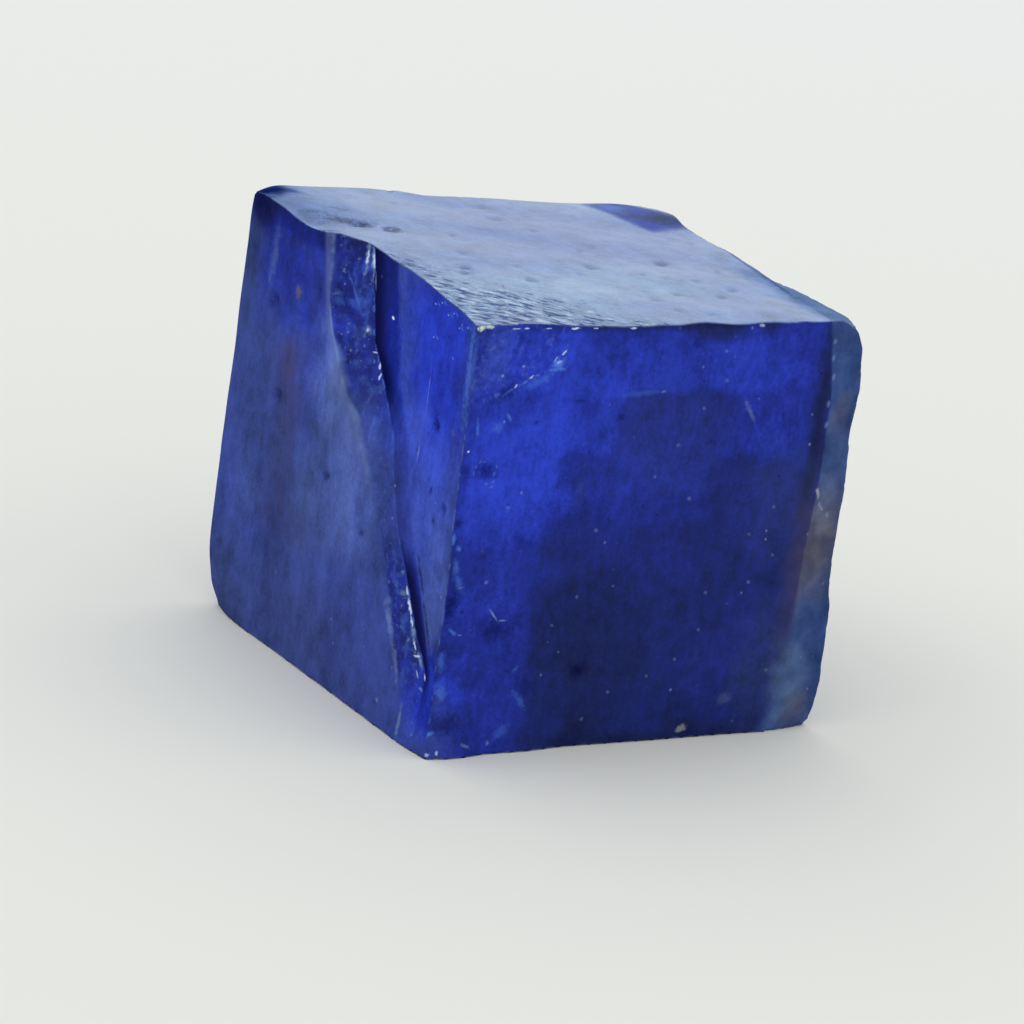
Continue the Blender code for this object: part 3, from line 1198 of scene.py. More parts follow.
# What is laid over that, patch by patch.
PATCHES: dict[Mark, tuple[Patch, ...]] = {
    Mark.GLOW: (
        # The front: bright from its top left, and dark in its lower right.
        *patches(
            Side.FRONT,
            (2.9, 17.4, 3.6, 4.6, 0.7, 0, 4, 0.9), (2.4, 11.0, 3.6, 2.6, 0.2, 0, 3, 1.2),
            (7.5, 19.5, 2.2, 2.1, 0.44, 0, 4, 0.9), (8.2, 15.6, 2.4, 2.4, 0.14, 0, 3, 1.2),
            (2.7, 23.7, 3.4, 2.2, 0.54, 0, 4, 0.7), (14.4, 22.9, 9.0, 2.1, 0.36, 0, 10, 0.35),
            (10.2, 24.0, 0.6, 0.6, 0.3), (20.2, 18.8, 3.1, 2.3, 0.36, -10, 4, 1.0),
            (12.8, 17.0, 3.9, 3.9, 0.21, 0, 4, 1.1), (10.0, 13.2, 5.0, 2.6, 0.06),
            (20.5, 14.0, 3.0, 2.8, 0.08), (13.8, 10.4, 2.6, 1.3, 0.09, -8),
            (2.5, 4.6, 3.4, 5.4, 0.27, 0, 8, 0.6), (0.3, 4.0, 1.2, 0.9, 0.3), (18.5, 5.0, 3.6, 4.0, 0.05),
            (11.0, 6.0, 4.8, 5.4, -0.025, 0, 3, 0.8), (9.2, 4.7, 0.9, 0.6, -0.2, 0, 2, 0.4),
            (9.6, 1.2, 1.2, 1.4, -0.1), (15.0, 0.2, 8.0, 0.8, -0.13),
            (23.3, 19.5, 0.45, 5.4, -0.28, 0, 2, 0.2), (15.8, 24.4, 1.9, 0.55, -0.4, 0, 3, 0.3),
            (19.2, 24.5, 0.9, 0.4, -0.3, 0, 3, 0.3), (9.5, 24.75, 9.5, 0.22, -0.24, 0, 3, 0.15),
        ),
        # The left side: its far part, then the facet in front of the channel.
        *patches(
            Side.LEFT,
            (20.4, 22.2, 3.6, 3.4, 0.13, 0, 4), (25.0, 22.0, 1.2, 4.0, -0.12),
            (20.5, 25.2, 6.0, 0.9, -0.16, 0, 4, 0.3), (25.0, 24.8, 1.8, 1.7, -0.13),
            (17.6, 17.2, 2.0, 2.5, 0.12), (24.2, 8.2, 1.8, 2.4, 0.12, 0, 2, 0.8),
            (21.6, 5.4, 1.6, 1.4, 0.09, 0, 2, 0.8), (18.6, 8.2, 2.0, 3.2, -0.1, 0, 2, 0.8),
            (19.4, 14.4, 1.0, 2.6, -0.09, 0, 2, 0.6), (24.6, 1.6, 2.6, 1.8, -0.1, 0, 2, 0.8),
            (10.6, 10.8, 0.8, 1.2, 0.12, 0, 2, 0.5), (10.5, 14.2, 0.45, 2.2, 0.12, -4, 2, 0.5),
            (15.2, 18.2, 1.3, 3.2, 0.26, 8), (11.2, 12.0, 2.4, 3.6, 0.22), (18.0, 2.0, 8.0, 3.0, -0.06),
            (9.0, 4.5, 3.6, 3.0, 0.06), (13.3, 21.6, 2.5, 3.8, 0.1, 0, 5, 0.3),
            (5.6, 20.6, 5.2, 5.4, 0.4, 0, 6, 0.6), (3.2, 12.6, 2.8, 5.2, 0.3, 0, 4, 0.6),
            (1.4, 3.0, 2.0, 2.8, 0.34),
        ),
        # The lump at the top's far right corner, with painted shade that is darkest where it faces forwards;
        # then the darker far left of the top.
        *patches(
            Side.TOP,
            (23.6, 21.8, 1.8, 3.0, -0.04, 14, 14, 0.25), (24.7, 20.7, 1.2, 0.9, -0.36, -20, 3, 0.3),
            (22.9, 21.6, 0.6, 1.0, -0.24, 14, 2, 0.3), (-0.1, 25.4, 1.5, 1.3, -0.34),
            (0.0, 21.0, 0.8, 5.0, -0.1),
        ),
    ),
    # The haze, which on the top and the left side is painted sheen.
    Mark.HAZE_AND_SHEEN: (
        *patches(
            Side.LEFT,
            (11.4, 12.2, 2.6, 4.2, 0.15), (14.9, 17.8, 1.5, 2.6, 0.2, 8),
            (15.8, 10.4, 1.6, 2.8, 0.06, 0, 2, 0.6), (23.2, 8.4, 1.6, 2.6, 0.04, 0, 2, 0.8),
            (18.8, 7.6, 1.4, 2.6, -0.04), (10.7, 10.8, 0.8, 1.2, 0.05, 0, 2, 0.5),
            (0.6, 4.2, 1.3, 2.6, -0.08), (20.4, 22.4, 4.4, 3.2, -0.09, 0, 4), (13.3, 21.6, 2.5, 3.8, -0.09),
            (20.5, 25.2, 6.0, 0.9, -0.1, 0, 4, 0.3), (25.0, 24.8, 1.8, 1.7, -0.12),
            (4.6, 22.0, 4.6, 4.2, -0.12, 0, 4), (8.3, 20.0, 0.9, 2.2, 0.05), (3.0, 16.5, 3.0, 2.4, -0.03),
            (1.6, 9.6, 1.5, 3.4, 0.07, 8), (1.5, 3.4, 2.0, 2.4, -0.09),
        ),
        *patches(
            Side.FRONT,
            (0.7, 22.8, 0.8, 1.6, 0.07), (0.4, 1.2, 1.6, 1.3, 0.08), (7.8, 15.4, 0.6, 0.5, 0.04),
            (21.6, 14.5, 2.4, 3.2, 0.025), (12.8, 18.0, 3.6, 3.0, 0.02), (22.2, 4.0, 2.0, 3.6, 0.03),
            (24.3, 3.0, 1.3, 2.6, 0.16), (25.2, 17.4, 0.9, 2.4, 0.05), (24.9, 13.6, 0.8, 1.6, 0.1),
        ),
        # The top's painted sheen, stronger nearer the front and weaker on the lump and at the far left
        # corner.
        *patches(
            Side.TOP,
            (14.5, 8.2, 4.5, 2.4, 0.14), (5.0, 4.5, 6.0, 5.0, 0.18), (16.0, 17.0, 8.0, 6.0, -0.07),
            (23.6, 21.8, 1.8, 3.0, -0.27, 14, 14, 0.25), (-0.1, 25.4, 1.5, 1.3, -0.36),
            (0.0, 21.0, 0.8, 5.0, -0.08), (22.2, 23.4, 1.2, 1.2, 0.12),
        ),
    ),
    Mark.RUST: (
        *patches(
            Side.FRONT,
            (25.0, 11.8, 1.6, 3.2, 0.9, 0, 3, 0.5), (23.3, 9.6, 0.8, 4.2, 0.45, 0, 3, 0.3),
            (25.2, 19.4, 0.8, 1.2, 0.35, 0, 3, 0.4), (25.2, 1.3, 1.0, 1.1, 0.55, 0, 3, 0.4),
        ),
        *patches(
            Side.LEFT,
            (19.3, 16.6, 1.7, 1.6, 0.6), (18.8, 11.5, 1.0, 4.5, 0.32), (17.5, 7.8, 4.0, 1.2, 0.16),
            (12.0, 3.0, 9.0, 3.0, 0.08),
        ),
        *patches(Side.RIGHT, (1.5, 12.0, 2.5, 3.0, 0.6), (16.0, 7.0, 4.0, 2.5, 0.5)),
    ),
    Mark.GLOSS: (
        *patches(
            Side.TOP,
            (23.6, 21.8, 1.8, 3.0, -0.45, 14, 14, 0.25), (-0.1, 25.4, 1.5, 1.3, -0.6),
            (0.8, 22.0, 2.6, 4.4, -0.3), (24.6, 5.5, 1.6, 6.5, -0.55, 0, 4, 0.3),
        ),
        *patches(Side.LEFT, (9.5, 20.5, 1.6, 4.4, -0.04)),
    ),
    Mark.DIMPLED: (
        *patches(
            Side.TOP,
            (3.0, 2.7, 5.6, 4.9, 1.1, 0, 2.5), (9.5, 1.2, 3.6, 1.0, 0.6), (1.2, 10.0, 1.4, 4.0, 0.6),
            (4.4, 10.4, 1.0, 1.2, 0.4),
        ),
    ),
}

FRONT_PIT = Pit(Side.FRONT, (1.3, 0.3, 16.7), 0.75, 0.15, 0.7)

PITS: tuple[Pit, ...] = (
    Pit(Side.TOP, (2.2, 18.6, 25.42), 0.6, 0.15, 0.7),
    Pit(Side.TOP, (3.8, 17.5, 25.42), 0.5, 0.12, 0.7),
    Pit(Side.TOP, (4.16, 9.75, 25.15), 0.4, 0.15, 0.6),
    Pit(Side.TOP, (4.95, 10.78, 25.13), 0.4, 0.12, 0.45),
    Pit(Side.TOP, (1.29, 11.0, 25.32), 0.45, 0.15, 0.6),
    Pit(Side.TOP, (13.27, 10.73, 25.08), 0.5, 0.08, 0.3),
    Pit(Side.TOP, (18.88, 11.85, 24.87), 0.5, 0.08, 0.4),
    Pit(Side.TOP, (20.4, 6.66, 24.84), 0.45, 0.08, 0.35),
    Pit(Side.TOP, (18.88, 5.44, 24.81), 0.4, 0.06, 0.25),
    Pit(Side.TOP, (16.14, 5.99, 24.84), 0.35, 0.06, 0.25),
    Pit(Side.TOP, (13.96, 4.95, 24.9), 0.4, 0.06, 0.25),
    Pit(Side.TOP, (7.91, 8.57, 25.05), 0.45, 0.1, 0.35),
    Pit(Side.TOP, (12.63, 20.36, 25.19), 0.6, 0.06, 0.3),
    Pit(Side.LEFT, (-0.4, 14.0, 11.9), 0.42, 0.15, 0.6),
    Pit(Side.LEFT, (-0.3, 9.5, 10.0), 0.36, 0.15, 0.6),
    Pit(Side.LEFT, (-0.5, 20.3, 14.7), 0.6, 0.2, 0.5),
    Pit(Side.LEFT, (-0.6, 21.9, 20.0), 0.6, 0.15, 0.5),
    Pit(Side.LEFT, (0.1, 4.0, 18.1), 0.5, 0.2, 0.8),
    Pit(Side.LEFT, (-0.3, 1.6, 14.1), 0.45, 0.15, 0.5),
    FRONT_PIT,
)

# Pale dots on the front: (distance from the left, height), in mm.
FRONT_DOTS: Line = (
    (16.3, 23.2), (16.6, 21.5), (13.9, 17.8), (15.2, 14.6), (21.1, 13.9), (15.3, 19.9), (12.6, 16.0),
    (3.1, 14.5), (9.1, 13.0), (8.5, 9.1), (10.9, 9.6), (7.1, 7.5), (11.5, 3.3), (10.1, 1.7), (21.6, 11.0),
    (19.7, 12.3), (20.2, 9.4), (17.3, 8.9), (17.2, 6.7), (15.8, 5.0), (14.0, 4.1), (22.4, 4.0),
)

# Painted highlights, white dots in the skin where the inner edge of the strip catches the light: (distance
# from the left, height), in mm.
STRIP_EDGE_HIGHLIGHTS: Line = (
    (23.7, 23.6), (23.8, 22.6), (24.0, 21.5), (23.9, 19.9), (24.0, 18.7), (24.0, 14.8), (24.4, 13.9),
    (25.2, 13.2),
)

# Painted highlights, sparkles under the top edge of the facet in front of the channel: (distance from the
# front, height), in mm.
EDGE_SPARKLES: Line = (
    (10.2, 25.0), (9.6, 24.6), (8.9, 24.9), (8.2, 24.2), (7.3, 24.8), (6.4, 24.4), (5.6, 24.7), (4.6, 24.3),
    (3.9, 24.6), (2.8, 24.1), (1.6, 24.5), (7.8, 23.2), (6.0, 22.6),
)

# Dark nicks in the top along its left edge: (distance from the left, distance from the front), in mm.
EDGE_NICKS: Line = (
    (0.35, 0.9), (0.15, 1.9), (0.45, 2.5), (0.1, 3.3), (0.3, 4.4), (0.05, 5.3), (0.35, 6.1), (0.1, 7.0),
    (0.3, 8.2), (0.1, 9.3), (0.3, 10.3), (0.9, 1.4), (1.3, 0.6),
)

# Pale arcs round the front's pit: (bearing from its middle in degrees, distance from it in mm).
RING_ARCS: Line = (
    (105, 0.55), (130, 0.72), (158, 0.75), (185, 0.8), (20, 0.7), (-15, 0.62), (-50, 0.85), (-62, 1.05),
    (-80, 0.75),
)


def ring_arc(bearing: float, distance: float) -> tuple[float, ...]:
    """The row of one pale arc round the front's pit, which lies square to its bearing.

    Args:
        bearing: its bearing from the pit's middle, in degrees.
        distance: its distance from there, in mm.

    Returns:
        The arc's place, its reach, its turn and its strength.
    """
    turn, (x, y, z) = math.radians(bearing), FRONT_PIT.at
    reach, strength = (0.07, 0.15), 0.2
    return x + distance * math.cos(turn), y, z + distance * math.sin(turn), *reach, bearing, strength


FLECKS: tuple[Fleck, ...] = (
    # The painted shade in the pits.
    *(pit.fleck() for pit in PITS),
    *flecks(Tone.SPECK, Side.FRONT, *((x, 0.25, z, 0.14, 0.11, -20, 0.26) for x, z in FRONT_DOTS)),
    *flecks(Tone.SPECK, Side.FRONT, *((x, 0.4, z, 0.14, 0.2, 0, 0.4) for x, z in STRIP_EDGE_HIGHLIGHTS)),
    *flecks(Tone.HAZE, Side.FRONT, *(ring_arc(*arc) for arc in RING_ARCS)),
    *flecks(Tone.INK, Side.TOP, *((x, y, 25.2, 0.32, 0.16, -25, 0.55) for x, y in EDGE_NICKS)),
    *flecks(Tone.AZURE, Side.LEFT, *((-0.6, y - 0.4, z + 0.1, 0.3, 0.1, 10, 0.4) for y, z in EDGE_SPARKLES)),
    *flecks(Tone.GLINT, Side.LEFT, *((-0.6, y, z, 0.1, 0.05, 0, 0.4) for y, z in EDGE_SPARKLES)),
    # Large soft specks.
    *flecks(Tone.SPECK, Side.FRONT, (19.8, 0.2, 2.3, 0.5, 0.4, 0, 0.12)),
    *flecks(Tone.BONE, Side.FRONT, (17.2, 0.2, 0.65, 0.4, 0.28, 10, 0.25)),
    # The scratch and the hair line.
    *flecks(Tone.SPECK, Side.FRONT, (18.4, 0.4, 19.75, 0.95, 0.16, -56, 0.25)),
    *flecks(
        Tone.HAZE, Side.FRONT,
        (3.1, 0.2, 8.3, 0.52, 0.07, -49, 0.5), (3.75, 0.2, 7.95, 0.34, 0.07, 0, 0.5),
    ),
    # The chip: its bright facet and the glints on its step, which are painted highlights, the streak under
    # its step, and loose specks.
    *flecks(
        Tone.AZURE, Side.FRONT,
        (5.1, 0.4, 22.7, 0.42, 0.28, 35, 1.0), (5.2, 0.4, 22.45, 0.42, 0.14, 8, 0.8),
        (3.9, 0.4, 21.75, 1.0, 0.24, 24, 0.4), (2.3, 0.3, 19.75, 0.32, 0.12, -50, 0.7),
        (0.3, 0.3, 19.3, 0.12, 0.46, 8, 0.8), (1.6, 0.3, 19.2, 0.4, 0.3, 0, 0.4),
    ),
    *flecks(
        Tone.GLINT, Side.FRONT,
        (5.15, 0.4, 22.8, 0.2, 0.09, 30, 0.35), (5.35, 0.4, 23.35, 0.22, 0.06, 55, 0.7),
        (4.9, 0.4, 22.95, 0.22, 0.05, 60, 0.5), (3.45, 0.4, 21.97, 0.2, 0.05, 35, 0.6),
        (2.5, 0.4, 21.5, 0.16, 0.05, 40, 0.6), (-0.1, 0.3, 17.9, 0.1, 0.08, 0, 0.8),
    ),
    *flecks(
        Tone.SPECK, Side.FRONT,
        (2.85, 0.4, 22.6, 0.12, 0.09, 0, 0.8), (1.55, 0.4, 22.1, 0.1, 0.1, 0, 0.7),
    ),
    # A thin bright line over the dark zone.
    *flecks(Tone.AZURE, Side.FRONT, (11.0, 0.35, 20.9, 1.7, 0.18, 3, 0.2)),
    *flecks(Tone.HAZE, Side.FRONT, (12.3, 0.4, 20.95, 0.22, 0.07, 10, 0.35)),
    # Dark spots.
    *flecks(
        Tone.INK, Side.FRONT,
        (1.9, 0.3, 21.1, 0.7, 0.34, 20, 0.55), (9.7, 0.3, 19.6, 0.34, 0.28, 0, 0.6),
        (6.8, 0.3, 20.6, 0.28, 0.14, 0, 0.6), (4.1, 0.3, 19.4, 0.24, 0.16, 30, 0.6),
        (4.1, 0.2, 12.7, 0.8, 0.34, -30, 0.4), (9.2, 0.2, 4.7, 0.5, 0.36, 0, 0.7),
        (14.2, 0.4, 23.7, 0.4, 0.34, 0, 0.4), (-0.1, 0.3, 16.6, 0.35, 0.8, 0, 0.5),
        (-0.1, 0.3, 13.8, 0.3, 0.4, 0, 0.6),
    ),
    # Painted highlights: sparkles along the top edge of the front, and at its foot.
    *flecks(
        Tone.BONE, Side.FRONT,
        (-0.25, 0.3, 24.88, 0.34, 0.2, 12, 0.9, 0.8), (0.2, 0.3, 24.95, 0.34, 0.17, -10, 0.8, 0.8),
    ),
    *flecks(Tone.BONE, Side.TOP, (-0.3, 0.25, 25.0, 0.3, 0.24, 0, 1.0, 0.8)),
    *flecks(
        Tone.GLINT, Side.FRONT,
        (2.0, 0.4, 24.78, 0.3, 0.035, 0, 0.6, 0.5), (2.65, 0.4, 24.78, 0.2, 0.06, 0, 0.8, 0.5),
        (4.1, 0.4, 24.75, 0.22, 0.04, 0, 0.6, 0.5), (5.8, 0.4, 24.75, 0.3, 0.07, 4, 0.9, 0.5),
        (7.1, 0.4, 24.75, 0.16, 0.05, 0, 0.6, 0.5), (9.6, 0.4, 24.7, 0.26, 0.07, 0, 0.7, 0.5),
        (18.6, 0.6, 24.6, 0.2, 0.1, 0, 0.5), (0.5, -0.3, 0.4, 0.11, 0.16, 0, 0.6),
        (-0.1, -0.3, 0.3, 0.18, 0.12, 0, 0.6),
    ),
    *flecks(
        Tone.AZURE, Side.FRONT,
        (-0.1, -0.2, 1.5, 0.3, 0.14, 10, 0.9), (5.1, 0.2, 5.0, 0.3, 0.14, 50, 0.3),
        (5.6, 0.2, 3.2, 0.8, 0.22, -50, 0.3), (4.7, 0.2, 1.3, 0.6, 0.3, 30, 0.3),
        (-0.2, 0.1, 12.9, 0.14, 0.3, 0, 0.7), (0.2, 0.1, 12.3, 0.14, 0.2, 20, 0.6),
        (0.5, 0.1, 10.3, 0.26, 0.6, 30, 0.4), (0.2, 0.1, 11.2, 0.2, 0.5, 10, 0.45),
        (0.6, 0.1, 7.4, 0.34, 0.12, -40, 0.6), (0.4, 0.1, 3.9, 0.4, 0.6, 20, 0.5),
        (0.2, 0.0, 5.6, 0.3, 0.6, 5, 0.4),
    ),
    *flecks(
        Tone.HAZE, Side.FRONT,
        (3.9, 0.0, 0.7, 0.14, 0.14, 0, 0.5), (2.3, 0.0, 0.7, 0.3, 0.1, -20, 0.35),
        (0.7, 0.1, 10.0, 0.2, 0.06, 20, 0.4), (1.1, 0.1, 7.2, 0.16, 0.07, 0, 0.3),
        (2.3, 0.1, 10.25, 0.12, 0.11, 0, 0.35),
    ),
    *flecks(
        Tone.INK, Side.FRONT,
        (0.15, 0.1, 9.0, 0.5, 1.0, -10, 0.8), (0.3, 0.1, 10.2, 0.3, 0.3, 0, 0.4),
        (3.3, 0.1, 7.4, 1.2, 0.8, -10, 0.5), (0.0, 0.1, 4.7, 0.3, 0.4, 0, 0.5),
        (0.9, 0.0, 2.0, 1.4, 0.7, 0, 0.6), (5.9, 0.1, 3.9, 0.6, 0.7, 20, 0.4),
    ),
    # The streak on the skin, beside the end of the strip's inner line.
    *flecks(
        Tone.BONE, Side.FRONT,
        (24.15, 0.5, 14.6, 0.14, 0.4, 20, 0.3), (24.6, 0.5, 13.7, 0.1, 0.35, 40, 0.15),
    ),
    # The channel's bars and glints, from its top down: painted highlights on the facets of its wall and
    # groove.
    *flecks(
        Tone.HAZE, Side.LEFT,
        (0.6, 14.4, 24.6, 0.15, 0.85, -8, 0.8), (0.7, 13.92, 24.5, 0.16, 0.95, -18, 0.85),
        (0.7, 13.4, 23.6, 0.12, 0.5, -22, 0.4), (0.5, 13.0, 20.85, 0.26, 0.24, 30, 0.35),
        (0.3, 3.6, 6.1, 0.14, 0.5, -30, 0.7, 1.2), (0.3, 2.5, 4.8, 0.09, 0.55, -44, 0.6, 1.2),
    ),
    *flecks(
        Tone.GLINT, Side.LEFT,
        (0.6, 14.4, 24.7, 0.1, 0.5, -8, 0.8), (0.7, 13.96, 24.7, 0.1, 0.5, -18, 0.8),
        (0.5, 13.0, 20.85, 0.15, 0.14, 30, 0.6), (0.5, 12.1, 19.8, 0.24, 0.07, -10, 0.6),
        (0.5, 11.4, 19.2, 0.09, 0.22, -20, 0.8), (0.5, 11.1, 18.7, 0.07, 0.22, -10, 0.8),
        (0.7, 10.9, 22.2, 0.16, 0.1, 10, 1.0), (0.3, 4.75, 8.2, 0.08, 0.3, -28, 0.8, 1.2),
        (0.3, 4.3, 7.4, 0.11, 0.5, -28, 1.0, 1.2), (0.3, 3.9, 6.65, 0.07, 0.3, -28, 0.9, 1.2),
        (0.3, 3.25, 5.5, 0.07, 0.32, -30, 0.8, 1.2), (0.3, 2.85, 5.0, 0.26, 0.08, -10, 0.8, 1.2),
        (0.3, 1.8, 4.1, 0.09, 0.26, -40, 0.8, 1.2), (0.3, 2.45, 4.1, 0.06, 0.3, -40, 0.6, 1.2),
    ),
    *flecks(Tone.AZURE, Side.LEFT, (0.3, 14.5, 22.6, 0.1, 1.4, -38, 0.4)),
    # The dark line in front of them: the painted shade of a second groove there.
    *flecks(
        Tone.INK, Side.LEFT,
        (0.1, 3.4, 9.5, 0.15, 1.3, -22, 0.7, 1.2), (0.3, 2.2, 6.8, 0.16, 1.7, -26, 0.75, 1.2),
    ),
    *flecks(Tone.HAZE, Side.LEFT, (0.2, 1.9, 3.4, 0.2, 0.08, 20, 0.5), (0.1, 4.9, 8.0, 0.3, 0.16, 0, 0.35)),
    # The lower rim, and the pale line that runs on from it to the base.
    *flecks(
        Tone.SPECK, Side.LEFT,
        (-0.2, 5.8, 7.2, 0.22, 0.36, 0, 0.25), (-0.2, 5.3, 6.0, 0.16, 1.2, -25, 0.4),
        (-0.1, 4.3, 3.9, 0.16, 1.2, -22, 0.25),
    ),
    *flecks(
        Tone.HAZE, Side.LEFT,
        (0.0, 2.9, 1.1, 0.14, 1.0, -10, 0.35), (-0.1, 5.4, 1.45, 0.24, 0.12, 20, 0.35),
    ),
    # The dark inner line of the top's right bevel, and the paler blue of the lump beyond it.
    *flecks(Tone.INK, Side.TOP, (24.15, 7.2, 24.8, 2.8, 0.26, 78, 0.5)),
    *flecks(Tone.AZURE, Side.TOP, (22.6, 23.3, 25.2, 1.5, 0.9, 10, 0.3)),
    # Long dark marks on the far left of the top.
    *flecks(
        Tone.INK, Side.TOP,
        (1.5, 19.35, 25.43, 1.2, 0.8, -36, 0.7), (2.5, 18.45, 25.43, 0.8, 0.95, -36, 0.8),
        (3.9, 17.4, 25.42, 0.7, 0.8, -32, 0.75), (0.7, 21.0, 25.6, 0.9, 0.3, -38, 0.35),
        (2.3, 21.2, 25.6, 0.9, 0.26, -38, 0.3),
    ),
    # Spots and fine upright lines on the left side.
    *flecks(
        Tone.RUST, Side.LEFT,
        (-0.5, 19.4, 21.1, 0.42, 0.4, 0, 0.9), (-0.3, 1.7, 18.5, 0.24, 0.16, 0, 0.6),
    ),
    *flecks(
        Tone.INK, Side.LEFT,
        (-0.15, 3.2, 14.7, 0.22, 0.4, 20, 0.7), (-0.15, 2.5, 13.1, 0.22, 0.36, 20, 0.7),
        (-0.57, 17.0, 21.8, 0.35, 0.7, 0, 0.4),
    ),
    *flecks(
        Tone.HAZE, Side.LEFT,
        (0.3, 5.6, 19.8, 0.07, 1.1, -3, 0.35), (0.1, 5.4, 16.1, 0.08, 0.5, -3, 0.4),
        (-0.56, 22.6, 22.3, 0.4, 1.9, 2, 0.15),
    ),
    # A painted highlight along the near edge.
    *flecks(Tone.AZURE, Side.LEFT, (-0.6, 0.6, 22.3, 0.4, 3.0, 0, 0.5)),
    *flecks(Tone.AZURE, Side.FRONT, (-0.5, 0.5, 22.3, 0.24, 2.8, 0, 0.35)),
)


@dataclass
class Stone:
    """The whole stone, refined from its solid.

    The solid's loose triangles are merged, and joined below the join angle, and edges past the crease angle
    stay sharp. The block's width, depth and height say where its sides are, in mm. Its leans and the rise of
    its top are what they come to over the span. The rest is for marking it: how much the way that a place
    faces weighs against its distance from a side, how wide and wavy the blends between the sides are, how
    far off and through the stone a fleck is looked for, and how sharply an edge turns before it gets a
    painted highlight.
    """

    node: str = "tanzanite"
    body: str = "root"
    slot: str = "crystal"
    merge_distance: float = 1e-6
    join_angle: float = math.radians(60)
    crease_angle: float = math.radians(24)
    crease: float = 0.9
    levels: int = 2
    width: float = 26.4
    depth: float = 25.5
    height: float = 24.9
    side_lean: float = 0.7
    front_lean: float = 0.4
    top_rise: float = 0.5
    span: float = 25.0
    facing_weight: float = 4.0
    blend_width: float = 0.16
    blend_wave: float = 0.15
    blend_pitch: float = 0.7
    waver_pitch: float = 2.5
    fleck_facing: float = 0.4
    fleck_search: float = 60.0
    fleck_through: float = 1.5
    unmarked: Place = (9.0, 9.0, 0.0)
    highlight_from: float = 0.12
    highlight_over: float = 0.25
    least_length: float = 1e-9
    channel: FractureChannel = field(default_factory=FractureChannel)
    chip: FrontChip = field(default_factory=FrontChip)
    skin: NaturalSkin = field(default_factory=NaturalSkin)
    relief: SurfaceRelief = field(default_factory=SurfaceRelief)
    finish: CrystalFinish = field(default_factory=CrystalFinish)

    def build(self) -> bpy.types.Object:
        """Makes the stone.

        Returns:
            The finished piece, riding on its body in place of its solid.
        """
        piece = self._refined()
        for mark, values in self._marked(piece.data).items():
            piece.data.attributes.new(mark.value, "FLOAT", "POINT").data.foreach_set("value", values)
        self.relief.apply(piece, self.finish.material())
        piece.data.shade_smooth()
        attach(piece, self.body)
        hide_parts(self.node)
        LOG.info("stone: %d faces", len(piece.data.polygons))
        return piece

    def _refined(self) -> bpy.types.Object:
        """Makes a finely divided copy of the solid, with its sharp edges kept.

        Returns:
            The new piece, linked to the scene.
        """
        shape = bmesh.new()
        shape.from_mesh(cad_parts[self.node].data)
        bmesh.ops.remove_doubles(shape, verts=shape.verts[:], dist=self.merge_distance)
        low = {vertex for vertex in shape.verts if vertex.co.z < self.merge_distance}
        base = [face for face in shape.faces if low.issuperset(face.verts)]
        bmesh.ops.dissolve_faces(shape, faces=base, use_verts=False)
        bmesh.ops.join_triangles(
            shape,
            faces=[face for face in shape.faces if len(face.verts) == 3],
            angle_face_threshold=self.join_angle,
            angle_shape_threshold=math.pi,
        )
        creases = shape.edges.layers.float.new("crease_edge")
        for edge in shape.edges:
            if edge.calc_face_angle(0.0) > self.crease_angle:
                edge[creases] = self.crease
        mesh = bpy.data.meshes.new("stone")
        shape.to_mesh(mesh)
        shape.free()
        piece = bpy.data.objects.new("stone", mesh)
        bpy.context.scene.collection.objects.link(piece)
        finer = piece.modifiers.new("finer", "SUBSURF")
        finer.levels = finer.render_levels = self.levels
        make_plain(piece)
        return piece

    def _marked(self, mesh: bpy.types.Mesh) -> dict[Enum, np.ndarray]:
        """Works the fine relief into the mesh, and measures what each place on it is like.

        Args:
            mesh: the refined mesh, whose points are moved.

        Returns:
            One value for each point, for every mark and side.
        """
        places = from_corner(values_of(mesh.vertices, "co", 3))
        sides = self._sides(places, values_of(mesh.vertex_normals, "vector", 3))
        marks: dict[Enum, np.ndarray] = dict(sides)
        marks.update(self.channel.mark(places, sides[Side.LEFT]))
        marks.update(self.chip.mark(places, sides[Side.FRONT]))
        marks[Mark.SKIN] = self.skin.mark(places, sides)
        strays = np.stack([wavy(places, self.waver_pitch, layer) for layer in WAVER_LAYERS])
        for mark, patches_of_mark in PATCHES.items():
            marks[mark] = sum(value * sides[side] for side, value in zip(Side, BASE_BY_SIDE[mark]))
            for patch in patches_of_mark:
                first, second = (places[:, axis] for axis in DIRECTIONS[patch.side])
                marks[mark] = marks[mark] + sides[patch.side] * patch.cover(first, second, strays)
        marks[Mark.HAZE_AND_SHEEN] = marks[Mark.HAZE_AND_SHEEN] * self.channel.hazed(marks)
        places = self._worked(places, sides, marks)
        mesh.vertices.foreach_set("co", ((places + np.array(CORNER)) * MM).ravel())
        mesh.update()
        self._fleck(mesh, places)
        marks[Mark.EDGE] = self._edge_highlights(mesh)
        return marks

    def _worked(
        self, places: np.ndarray, sides: dict[Side, np.ndarray], marks: dict[Enum, np.ndarray]
    ) -> np.ndarray:
        """The places moved inwards by the fine relief of the side that each is on.

        Args:
            places: places in mm from the block's corner.
            sides: how much each place is on each side.
            marks: what else is marked at each place.

        Returns:
            The moved places.
        """
        grain = self.skin.inward(places, marks[Mark.SKIN])
        inward = {side: grain * weight for side, weight in sides.items()}
        inward[Side.LEFT] = inward[Side.LEFT] + sides[Side.LEFT] * self.channel.inward(places, marks)
        inward[Side.FRONT] = inward[Side.FRONT] + self.chip.inward(marks)
        for pit in PITS:
            inward[pit.side] = inward[pit.side] + sides[pit.side] * pit.inward(places)
        del inward[Side.BASE]  # the base stays flat
        for side, depth in inward.items():
            places = places + np.outer(depth, INTO[side])
        return places

